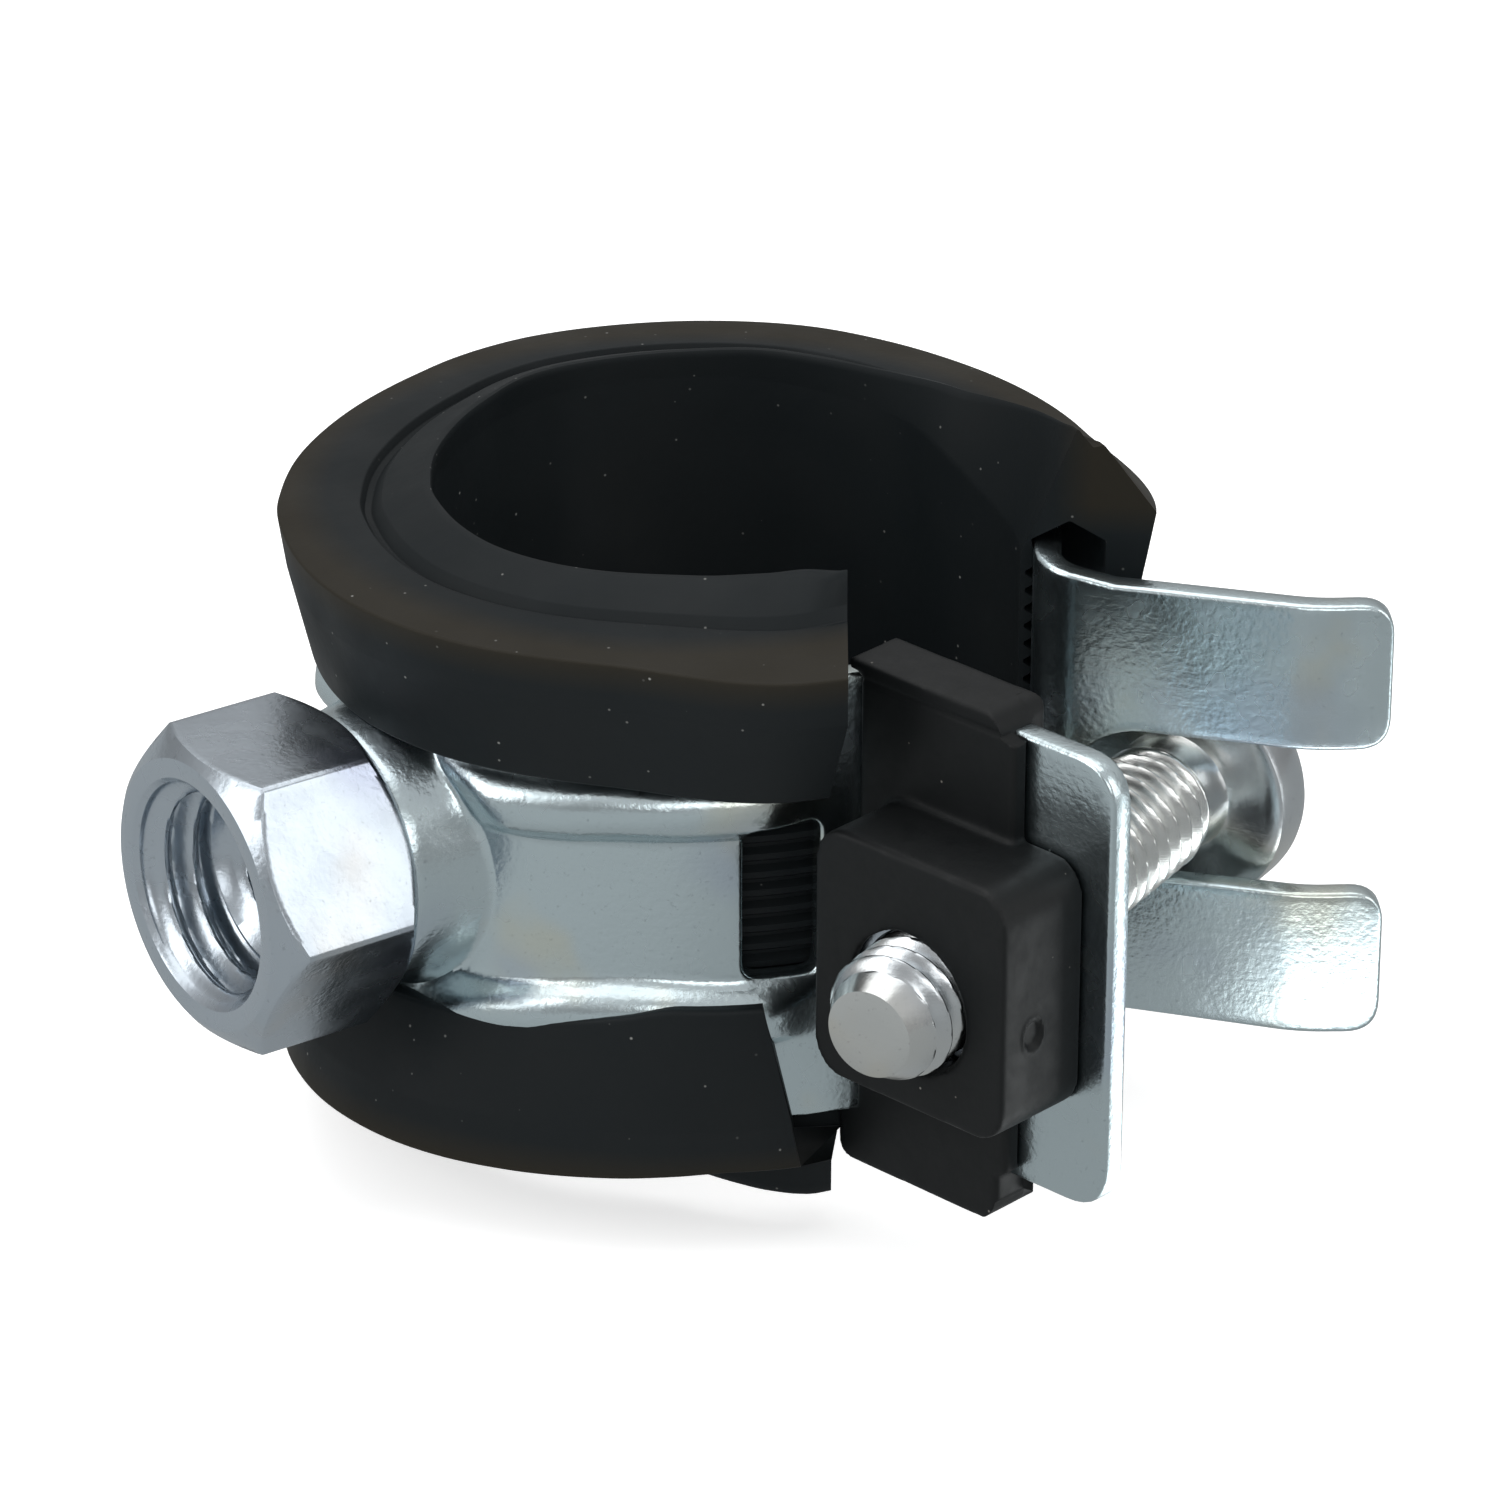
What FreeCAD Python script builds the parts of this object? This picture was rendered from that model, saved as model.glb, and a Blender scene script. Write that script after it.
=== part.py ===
import FreeCAD, Part
import math
import os
import Sketcher

# Rubber lined pipe clamp with one closing screw, shown slightly open.
# Frame: the pipe axis is +Z, and the origin is on the bore axis at the middle of the strip's width.
# Angles in the plan are measured from +X towards +Y. Sizes are in millimetres and degrees.

SIZES = [
    # pressed steel strip, bent to a ring with one ear at each end
    ("strip_thickness", 1.2),
    ("strip_width", 21.0),
    ("ring_radius", 16.3),
    ("bend_radius", 1.3),
    ("near_end_angle", -64.3),
    ("far_end_angle", -6.4),
    # two stiffening beads pressed outwards along the ring
    ("bead_offset", 4.35),
    ("bead_height", 1.1),
    ("bead_foot", 1.75),
    ("bead_shoulder", 1.3),
    ("bead_shoulder_height", 0.75),
    ("bead_crown", 0.6),
    ("bead_hollow_foot", 1.3),
    ("bead_hollow_shoulder", 0.85),
    ("bead_hollow_crown", 0.4),
    ("bead_inset_near", 2.5),
    ("bead_inset_far", 14.0),
    # rectangular window in the ring beside the near ear
    ("window_angle", -76.0),
    ("window_length", 3.9),
    ("window_height", 6.6),
    # near ear, a flat plate
    ("near_ear_angle", -43.5),
    ("near_ear_length", 12.7),
    ("near_ear_height", 20.4),
    ("near_ear_corner", 2.2),
    ("near_hole_radius", 4.4),
    # far ear, a fork with two prongs that curl back a little
    ("far_ear_angle", -14.1),
    ("far_ear_length", 9.4),
    ("far_ear_height", 20.2),
    ("far_ear_drop", 0.4),
    ("curl_radius", 6.0),
    ("curl_angle", 17.8),
    ("curl_length", 2.4),
    ("slot_width", 7.0),
    ("slot_start", 3.1),
    ("prong_corner", 1.5),
    # pressed boss under the nut
    ("boss_base_radius", 7.0),
    ("boss_top_radius", 5.6),
    ("boss_height", 2.3),
    # connection nut with a wide thread outside and a narrow one inside
    ("nut_angle", -144.4),
    ("nut_across_flats", 13.0),
    ("nut_length", 7.5),
    ("nut_face_radius", 6.1),
    ("nut_chamfer_length", 1.1),
    ("nut_twist", -2.4),
    ("wide_thread_radius", 4.25),
    ("wide_thread_depth", 3.6),
    ("nut_mouth_radius", 4.8),
    ("narrow_thread_radius", 3.35),
    # rubber liner section, measured from the strip and from the pipe axis
    ("liner_wall", 2.7),
    ("liner_fit", 0.05),
    ("bore_edge_step", 0.3),
    ("liner_near_margin", 0.15),
    ("liner_far_gap", 2.0),
    ("lip_height", 3.4),
    ("lip_chamfer", 1.4),
    ("groove_inner_rise", 2.35),
    ("groove_bottom_rise", 2.0),
    ("groove_outer_rise", 2.2),
    ("groove_inset", 1.0),
    ("groove_half_width", 0.45),
    ("shoulder_rise", 1.95),
    ("shoulder_overhang", 2.45),
    ("flange_bulge", 0.35),
    ("flange_edge_height", 6.3),
    ("flange_edge_thickness", 1.15),
    ("cavity_rise", 0.85),
    ("cavity_spread", 0.35),
    # how far the liner's section is pushed out and up at its far end
    ("far_flare_angle", 60.0),
    ("far_bore_out", 2.05),
    ("far_slope_drop", 2.6),
    ("far_lip_out", 4.2),
    ("far_lip_rise", 2.15),
    ("far_groove_out", 2.35),
    ("far_groove_rise", 2.6),
    ("far_shoulder_out", 1.65),
    ("far_shoulder_drop", 0.65),
    ("far_flange_out", 1.5),
    # the same at its near end
    ("near_flare_angle", 46.0),
    ("near_end_excess", 3.5),
    ("near_bore_out", 1.3),
    ("near_lip_out", 2.1),
    ("near_lip_rise", 1.1),
    ("near_groove_out", 1.9),
    ("near_shoulder_out", 1.85),
    ("near_flange_out", 1.4),
    # closing screw
    ("screw_radius", 2.9),
    ("screw_length", 26.6),
    ("screw_tip_radius", 2.0),
    ("screw_tip_chamfer", 1.0),
    ("screw_head_radius", 5.5),
    ("screw_head_height", 3.2),
    ("screw_head_round", 1.5),
    ("screw_head_shoulder", 0.45),
    ("screw_station", 4.7),
    ("screw_level", -1.2),
    ("fork_station", 3.434),
    ("fork_level", -0.53),
    ("head_standoff", 1.8),
    ("recess_length", 5.0),
    ("recess_width", 1.1),
    ("recess_depth", 1.8),
    # square nut in the plastic holder
    ("square_nut_side", 8.6),
    ("square_nut_thickness", 2.6),
    ("square_nut_gap", 1.15),
    ("thread_fit", 0.05),
    # plastic holder that wraps over the near ear
    ("holder_fit", 0.05),
    ("holder_start", -0.9),
    ("holder_end", 7.9),
    ("holder_front_wall", 0.9),
    ("holder_back_wall", 0.9),
    ("holder_back_start", 0.6),
    ("bend_room_margin", 51),
    ("holder_cap_rise", 0.9),
    ("holder_foot_drop", 2.8),
    ("cap_start", -1.6),
    ("box_start", 0.4),
    ("box_level", -0.4),
    ("box_width", 10.8),
    ("box_height", 11.7),
    ("box_depth", 5.0),
    ("box_corner", 1.6),
    ("pocket_fit", 0.1),
    ("screw_hole_fit", 0.3),
]

# places of the flared sections along each end, and how fast the lip, the back and the rise open out
FAR_SHARES = (0.0, 0.3, 0.55, 0.75, 0.9, 1.0)
FAR_POWERS = (2.4, 5.0, 1.5)
NEAR_SHARES = (0.0, 0.4, 0.65, 0.85, 1.0)
NEAR_POWERS = (4.0, 4.0, 3.0)

NAME = "Sizes"
doc = FreeCAD.newDocument("pipe_clamp")
sheet = doc.addObject("Spreadsheet::Sheet", NAME)
for row, (alias, number) in enumerate(SIZES, start=1):
    sheet.set("A%d" % row, alias)
    sheet.set("B%d" % row, "%g" % number)
    sheet.setAlias("B%d" % row, alias)
doc.recompute()

V = FreeCAD.Vector
UP = V(0, 0, 1)


def size(alias):
    return float(sheet.get(alias))


def value(formula):
    # the number that a formula of sums, products and plain numbers stands for
    total = 0.0
    sign = 1.0
    term = None
    for word in formula.split() + ["+"]:
        if word in ("+", "-"):
            if term is not None:
                total += sign * term
            sign = 1.0 if word == "+" else -1.0
            term = None
        elif word in ("*", "/"):
            pending = word
        else:
            number = size(word) if word[0].isalpha() else float(word)
            if term is None:
                term = number
            elif pending == "*":
                term *= number
            else:
                term /= number
    return total


def on_sheet(formula):
    # the same formula with each size word pointing at its cell
    words = []
    for word in formula.split():
        words.append("%s.%s" % (NAME, word) if word[0].isalpha() else word)
    return " ".join(words)


def direction(angle):
    return V(math.cos(math.radians(angle)), math.sin(math.radians(angle)), 0)


def placed(origin, angle):
    return FreeCAD.Placement(origin, FreeCAD.Rotation(UP, angle))


def bind(obj, links):
    # ties properties of an object to formulas on the sheet
    for prop, formula in links.items():
        obj.setExpression(prop, on_sheet(formula))


def primitive(kind, name, links, placement=None):
    obj = doc.addObject("Part::" + kind, name)
    bind(obj, links)
    if placement is not None:
        obj.Placement = placement
    return obj


def shift(frame, x, y, z):
    # the same frame moved along its own axes
    return frame.multiply(FreeCAD.Placement(V(x, y, z), FreeCAD.Rotation()))


def crossways(frame, x, y, z):
    # a frame whose local Z runs against the Y axis of the frame given
    return shift(frame, x, y, z).multiply(FreeCAD.Placement(V(0, 0, 0), FreeCAD.Rotation(V(1, 0, 0), 90)))


def fuse(name, shapes):
    obj = doc.addObject("Part::MultiFuse", name)
    obj.Shapes = shapes
    return obj


def cut(name, base, tools):
    obj = doc.addObject("Part::Cut", name)
    obj.Base = base
    obj.Tool = tools[0] if len(tools) == 1 else fuse(name + "_tools", tools)
    return obj


def sector(name, inner, outer, height, start, sweep, centre):
    # a curved piece of sheet between two radii, standing on its edge and centred on the plan
    base = placed(centre, start)
    tall = value(height)
    whole = primitive("Cylinder", name + "_outside", {
        "Radius": outer,
        "Height": height,
        "Angle": sweep,
    }, shift(base, 0, 0, -tall / 2))
    hollow = primitive("Cylinder", name + "_inside", {
        "Radius": inner,
        "Height": height + " * 2",
    }, shift(base, 0, 0, -tall))
    return cut(name, whole, [hollow])


def origin_plane(body, role):
    for feature in body.Origin.OriginFeatures:
        if feature.Role == role:
            return feature
    return None


def outline(body, name, plane, corners, angle=0.0):
    # a closed outline of straight lines, with each corner tied to two formulas
    sketch = body.newObject("Sketcher::SketchObject", name)
    sketch.AttachmentSupport = [(origin_plane(body, plane), "")]
    sketch.MapMode = "FlatFace"
    sketch.AttachmentOffset = FreeCAD.Placement(V(0, 0, 0), FreeCAD.Rotation(V(0, 1, 0), angle))
    count = len(corners)
    spots = [V(value(x), value(y), 0) for x, y in corners]
    for i in range(count):
        sketch.addGeometry(Part.LineSegment(spots[i], spots[(i + 1) % count]), False)
    for i in range(count):
        sketch.addConstraint(Sketcher.Constraint("Coincident", i, 2, (i + 1) % count, 1))
    for i in range(count):
        for kind, formula, number in (("DistanceX", corners[i][0], spots[i].x),
                                      ("DistanceY", corners[i][1], spots[i].y)):
            index = sketch.addConstraint(Sketcher.Constraint(kind, -1, 1, i, 1, number))
            label = "corner%d_%s" % (i, kind[-1])
            sketch.renameConstraint(index, label)
            sketch.setExpression("Constraints." + label, on_sheet(formula))
    return sketch


def revolved(body, name, corners, sweep, start):
    # a section turned about the pipe's axis from one angle in the plan onwards
    section = outline(body, name, "XZ_Plane", corners, start)
    turned = body.newObject("PartDesign::Revolution", name + "_turned")
    turned.Profile = section
    turned.ReferenceAxis = (section, ["V_Axis"])
    bind(turned, {"Angle": sweep})
    return turned


def with_mirror_image(name, upper):
    # the upper half and its mirror image below the middle of the strip
    lower = doc.addObject("Part::Mirroring", name + "_lower")
    lower.Source = upper
    lower.Normal = UP
    return fuse(name, [upper, lower])


# values that several pieces share
thickness = size("strip_thickness")
width = size("strip_width")
ring = size("ring_radius")
bend = size("bend_radius")
near_angle = size("near_end_angle")
far_angle = size("far_end_angle")
near_dir = size("near_ear_angle")
far_dir = size("far_ear_angle")

# centres of the two bends that turn the ring outwards into the ears
near_centre = direction(near_angle) * (ring + bend)
far_centre = direction(far_angle) * (ring + bend) - UP * size("far_ear_drop")
# near ear frame: X outwards along the ear, Y towards the other ear, origin on the face turned away from it
near_frame = placed(near_centre + direction(near_dir + 90) * bend, near_dir)
# far ear frame: X outwards along the ear, Y away from the other ear, origin on the face turned away from it
far_frame = placed(far_centre - direction(far_dir + 90) * bend, far_dir)


# Band: ring with two beads, bends, flat near ear, fork, boss
def make_band():
    ring_sweep = "360 + near_end_angle - far_end_angle"
    bead_sweep = ring_sweep + " - bead_inset_far - bead_inset_near"
    solids = [sector("ring_wall", "ring_radius - strip_thickness", "ring_radius", "strip_width",
                     far_angle, ring_sweep, V(0, 0, 0))]
    solids.append(pair_of_rings("bead", "ring_radius", bead_sweep))
    hollows = [pair_of_rings("bead_hollow", "ring_radius - strip_thickness", bead_sweep)]
    solids.append(sector("near_bend", "bend_radius", "bend_radius + strip_thickness", "near_ear_height",
                         near_dir + 90, "90 + near_end_angle - near_ear_angle", near_centre))
    solids.append(sector("far_bend", "bend_radius", "bend_radius + strip_thickness", "far_ear_height",
                         far_angle - 180, "90 + far_ear_angle - far_end_angle", far_centre))
    # near ear
    half = size("near_ear_height") / 2
    solids.append(primitive("Box", "near_plate", {
        "Length": "near_ear_length",
        "Width": "strip_thickness",
        "Height": "near_ear_height",
    }, shift(near_frame, 0, 0, -half)))
    hollows.append(primitive("Cylinder", "near_hole", {
        "Radius": "near_hole_radius",
        "Height": "strip_thickness * 3",
    }, crossways(near_frame, size("screw_station"), 2 * thickness, 0)))
    # fork: straight part, curl and end part, cut by one slot
    fork_half = size("far_ear_height") / 2
    solids.append(primitive("Box", "fork_root", {
        "Length": "far_ear_length",
        "Width": "strip_thickness",
        "Height": "far_ear_height",
    }, shift(far_frame, 0, -thickness, -fork_half)))
    end_dir = far_dir + size("curl_angle")
    curl_centre = far_frame.multVec(V(size("far_ear_length"), size("curl_radius"), 0))
    solids.append(sector("fork_curl", "curl_radius", "curl_radius + strip_thickness", "far_ear_height",
                         far_dir - 90, "curl_angle", curl_centre))
    end_frame = placed(curl_centre + direction(end_dir - 90) * size("curl_radius"), end_dir)
    solids.append(primitive("Box", "fork_end", {
        "Length": "curl_length",
        "Width": "strip_thickness",
        "Height": "far_ear_height",
    }, shift(end_frame, 0, -thickness, -fork_half)))
    slot_half = size("slot_width") / 2
    hollows.append(primitive("Box", "fork_slot", {
        "Length": "far_ear_length + curl_radius + curl_length",
        "Width": "curl_radius * 2",
        "Height": "slot_width",
    }, shift(far_frame, size("slot_start"), -size("curl_radius"), -slot_half)))
    hollows.append(primitive("Cylinder", "fork_slot_end", {
        "Radius": "slot_width / 2",
        "Height": "curl_radius * 2",
    }, crossways(far_frame, size("slot_start"), size("curl_radius"), 0)))
    # rounded corners at the ends of the ears
    for number, (level, turn) in enumerate(((fork_half, 1), (slot_half, -1),
                                            (-slot_half, 1), (-fork_half, -1))):
        hollows.append(corner("prong_corner_%d" % number, "prong_corner", end_frame,
                              size("curl_length"), level, turn))
    for number, turn in enumerate((1, -1)):
        hollows.append(corner("near_corner_%d" % number, "near_ear_corner", near_frame,
                              size("near_ear_length"), turn * half, turn))
    # window beside the near ear, cut from well inside the wall to well outside it
    hollows.append(primitive("Box", "window", {
        "Length": "strip_thickness * 4",
        "Width": "window_length",
        "Height": "window_height",
    }, shift(placed(V(0, 0, 0), size("window_angle")), ring - 2 * thickness,
             -size("window_length") / 2, -size("window_height") / 2)))
    # boss under the nut
    solids.append(primitive("Cone", "boss", {
        "Radius1": "boss_base_radius",
        "Radius2": "boss_top_radius",
        "Height": "boss_height + strip_thickness + bead_height",
    }, nut_placement(-size("boss_height") - thickness - size("bead_height"))))
    # beads and boss start inside the ring's wall, so the inside is cleared again
    hollows.append(primitive("Cylinder", "ring_inside", {
        "Radius": "ring_radius - strip_thickness",
        "Height": "strip_width * 2",
    }, placed(V(0, 0, -width), 0)))
    band = cut("band", fuse("band_blank", solids), hollows)
    band.Label = "band"
    return band


def pair_of_rings(name, base, sweep):
    # the upper and lower ring with a sloping, shouldered section that starts a little inside its base
    body = doc.addObject("PartDesign::Body", name)
    half_section = [
        (base + " - strip_thickness / 2", name + "_foot"),
        (base, name + "_foot"),
        (base + " + bead_shoulder_height", name + "_shoulder"),
        (base + " + bead_height", name + "_crown"),
    ]
    corners = [(x, "bead_offset - " + half_width) for x, half_width in half_section]
    corners += [(x, "bead_offset + " + half_width) for x, half_width in reversed(half_section)]
    body.Tip = revolved(body, name + "_section", corners, sweep, far_angle + size("bead_inset_far"))
    return with_mirror_image(name + "_pair", body)


def corner(name, alias, frame, along, level, turn):
    # what is taken off an outer corner so that it becomes a quarter round
    radius = size(alias)
    block = primitive("Box", name + "_block", {
        "Length": alias + " * 2",
        "Width": "strip_thickness * 3",
        "Height": alias,
    }, shift(frame, along - radius, -2 * thickness, level - radius if turn > 0 else level))
    keep = primitive("Cylinder", name + "_round", {
        "Radius": alias,
        "Height": "strip_thickness * 5",
    }, crossways(frame, along - radius, 2 * thickness, level - turn * radius))
    return cut(name, block, [keep])


def nut_placement(offset):
    # local Z runs outwards along the nut's axis, measured from the nut's inner face
    outward = direction(size("nut_angle"))
    seat = ring + size("boss_height")
    turn = FreeCAD.Rotation(UP, size("nut_angle"))
    turn = turn.multiply(FreeCAD.Rotation(V(0, 1, 0), 90))
    return FreeCAD.Placement(outward * (seat + offset), turn)


# Connection nut: hexagon with both ends chamfered and a stepped thread
def make_connection_nut():
    base = nut_placement(0)
    corner_radius = "nut_across_flats / %.7f" % math.sqrt(3)
    # the chamfer cones widen so fast that they leave the hexagon's corners within the chamfer's length
    wide_end = "nut_face_radius + ( %s - nut_face_radius ) * nut_length / nut_chamfer_length" % corner_radius
    hexagon = primitive("Prism", "nut_hexagon", {
        "Circumradius": corner_radius,
        "Height": "nut_length",
    }, base.multiply(placed(V(0, 0, 0), 90 + size("nut_twist"))))
    hexagon.Polygon = 6
    outer_cone = primitive("Cone", "nut_outer_cone", {
        "Radius1": wide_end,
        "Radius2": "nut_face_radius",
        "Height": "nut_length",
    }, base)
    inner_cone = primitive("Cone", "nut_inner_cone", {
        "Radius1": "nut_face_radius",
        "Radius2": wide_end,
        "Height": "nut_length",
    }, base)
    blank = doc.addObject("Part::MultiCommon", "nut_blank")
    blank.Shapes = [hexagon, outer_cone, inner_cone]
    step = value("wide_thread_radius - narrow_thread_radius")
    lead = value("nut_mouth_radius - wide_thread_radius")
    wide_bottom = value("nut_length - wide_thread_depth")
    through = primitive("Cylinder", "narrow_thread", {
        "Radius": "narrow_thread_radius",
        "Height": "nut_length * 3",
    }, nut_placement(-size("nut_length")))
    wide = primitive("Cylinder", "wide_thread", {
        "Radius": "wide_thread_radius",
        "Height": "wide_thread_depth * 2",
    }, nut_placement(wide_bottom))
    step_cone = primitive("Cone", "thread_step", {
        "Radius1": "narrow_thread_radius",
        "Radius2": "wide_thread_radius",
        "Height": "wide_thread_radius - narrow_thread_radius",
    }, nut_placement(wide_bottom - step))
    mouth = primitive("Cone", "nut_mouth", {
        "Radius1": "wide_thread_radius",
        "Radius2": "nut_mouth_radius",
        "Height": "nut_mouth_radius - wide_thread_radius",
    }, nut_placement(size("nut_length") - lead))
    nut = cut("connection_nut", blank, [through, wide, step_cone, mouth])
    nut.Label = "connection_nut"
    return nut


# Rubber liner: one moulded section that wraps both edges of the strip
def liner_section(side, out, late, rise):
    # the corners of the upper half; the three fractions say how far its parts have moved at one end
    def moved(base, alias, share, sign="+"):
        return "%s %s %s_%s * %.4f" % (base, sign, side, alias, share)
    edge = "strip_width / 2"
    bore = moved("ring_radius - strip_thickness - liner_wall", "bore_out", late)
    lip = "ring_radius - strip_thickness - liner_wall + bore_edge_step"
    inner = "ring_radius - strip_thickness - liner_fit"
    outer = moved("ring_radius + liner_fit", "flange_out", late)
    groove = moved("ring_radius - groove_inset", "groove_out", out)
    cavity = moved("ring_radius - strip_thickness / 2", "flange_out", late)
    shoulder = moved("ring_radius + shoulder_overhang", "shoulder_out", late)
    slope = edge + " + lip_height - lip_chamfer"
    groove_rises = ["groove_inner_rise", "groove_bottom_rise", "groove_outer_rise"]
    levels = [edge + " + " + alias for alias in groove_rises]
    top = edge + " + shoulder_rise"
    if side == "far":
        slope = moved(slope, "slope_drop", rise, "-")
        levels = [moved(level, "groove_rise", rise) for level in levels]
        top = moved(top, "shoulder_drop", late, "-")
    return [
        (bore, "0"),
        (bore, slope),
        (moved(lip, "lip_out", out), moved(edge + " + lip_height", "lip_rise", rise)),
        (groove + " - groove_half_width", levels[0]),
        (groove, levels[1]),
        (groove + " + groove_half_width", levels[2]),
        (shoulder, top),
        (shoulder + " - flange_bulge", edge + " - flange_bulge"),
        (outer + " - liner_fit + flange_edge_thickness", "flange_edge_height"),
        (outer, "flange_edge_height"),
        (outer, edge + " + liner_fit"),
        (outer + " + cavity_spread", edge + " + liner_fit + cavity_spread"),
        (cavity, edge + " + liner_fit + cavity_rise"),
        (inner + " - cavity_spread", edge + " + liner_fit + cavity_spread"),
        (inner, edge + " + liner_fit"),
        (inner, "0"),
    ]


def flared_end(body, side, start, sweep, shares, powers):
    # a loft through sections that open out more and more towards the liner's end
    sketches = []
    for number, share in enumerate(shares):
        out, late, rise = [share ** power for power in powers]
        corners = liner_section(side, out, late, rise)
        name = "%s_flare_%d" % (side, number)
        sketches.append(outline(body, name, "XZ_Plane", corners, start + sweep * share))
    doc.recompute()
    flare = body.newObject("PartDesign::AdditiveLoft", side + "_flare")
    flare.Profile = sketches[0]
    flare.Sections = sketches[1:]
    doc.recompute()
    return flare


def make_liner():
    body = doc.addObject("PartDesign::Body", "liner_upper_half")
    far_end = far_angle + size("liner_far_gap")
    far_flare = size("far_flare_angle")
    near_flare = size("near_flare_angle")
    # the near end is drawn a little past the strip's end and then cut by one upright plane
    near_end = near_angle + 360 + size("near_end_excess")
    plain = "360 + near_end_angle + near_end_excess - near_flare_angle" \
            " - far_end_angle - liner_far_gap - far_flare_angle"
    revolved(body, "liner_section", liner_section("near", 0, 0, 0), plain, far_end + far_flare)
    doc.recompute()
    flared_end(body, "far", far_end + far_flare, -far_flare, FAR_SHARES, FAR_POWERS)
    body.Tip = flared_end(body, "near", near_end - near_flare, near_flare, NEAR_SHARES, NEAR_POWERS)
    whole = with_mirror_image("liner_whole", body)
    face = value("ring_radius - strip_thickness") * direction(near_angle).x + size("liner_near_margin")
    trim = primitive("Box", "liner_near_trim", {
        "Length": "ring_radius",
        "Width": "ring_radius * 2",
        "Height": "strip_width * 2",
    }, placed(V(face, -2.5 * ring, -width), 0))
    liner = cut("rubber_liner", whole, [trim])
    liner.Label = "rubber_liner"
    return liner


# the screw stands askew because the clamp is open: it runs from the near ear's hole to the fork's slot
def screw_frame(offset):
    # local Z runs from the screw's tip to its head, and 0 is where the axis meets the near ear's outer face
    start = near_frame.multVec(V(size("screw_station"), 0, size("screw_level")))
    finish = far_frame.multVec(V(size("fork_station"), 0, size("fork_level")))
    along = (finish - start).normalize()
    turn = FreeCAD.Rotation(V(1, 0, 0), V(0, 0, 1), along, "ZXY")
    return FreeCAD.Placement(start + along * offset, turn)


def screw_span():
    # from the near ear's outer face to the underside of the head, which just clears the fork
    start = near_frame.multVec(V(size("screw_station"), 0, size("screw_level")))
    finish = far_frame.multVec(V(size("fork_station"), 0, size("fork_level")))
    return (finish - start).Length + size("head_standoff")


# Closing screw: threaded shank with a flat chamfered tip and a round head with a cross recess
def make_screw():
    body = doc.addObject("PartDesign::Body", "closing_screw")
    body.Label = "closing_screw"
    crown = "screw_length + screw_head_height"
    corners = [
        ("0", "0"),
        ("screw_tip_radius", "0"),
        ("screw_radius", "screw_tip_chamfer"),
        ("screw_radius", "screw_length"),
        ("screw_head_radius", "screw_length"),
        ("screw_head_radius", crown + " - screw_head_round"),
        ("screw_head_radius - screw_head_shoulder", crown + " - screw_head_shoulder"),
        ("screw_head_radius - screw_head_round", crown),
        ("0", crown),
    ]
    revolved(body, "screw_section", corners, "360", 0)
    doc.recompute()
    # the cross is drawn on the crown, one corner after the other
    long = "recess_length / 2"
    short = "recess_width / 2"
    quarter = [(long, short), (short, short), (short, long)]
    spots = []
    for side_x, side_y, order in (("", "", 1), ("0 - ", "", -1), ("0 - ", "0 - ", 1), ("", "0 - ", -1)):
        for x, y in quarter[::order]:
            spots.append((side_x + x, side_y + y))
    cross = outline(body, "recess_outline", "XY_Plane", spots)
    cross.AttachmentOffset = FreeCAD.Placement(V(0, 0, value(crown)), FreeCAD.Rotation())
    recess = body.newObject("PartDesign::Pocket", "recess")
    recess.Profile = cross
    bind(recess, {"Length": "recess_depth"})
    body.Tip = recess
    body.Placement = screw_frame(screw_span() - size("screw_length"))
    return body


# Square nut: sits in the holder's box, square to the screw and not to the ear
def square_nut_offset():
    return -value("square_nut_gap + square_nut_thickness")


def make_square_nut():
    side = size("square_nut_side")
    block = primitive("Box", "square_nut_block", {
        "Length": "square_nut_side",
        "Width": "square_nut_side",
        "Height": "square_nut_thickness",
    }, shift(screw_frame(square_nut_offset()), -side / 2, -side / 2, 0))
    thread = primitive("Cylinder", "square_nut_thread", {
        "Radius": "screw_radius + thread_fit",
        "Height": "square_nut_thickness * 3",
    }, screw_frame(square_nut_offset() - size("square_nut_thickness")))
    nut = cut("square_nut", block, [thread])
    nut.Label = "square_nut"
    return nut


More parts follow.
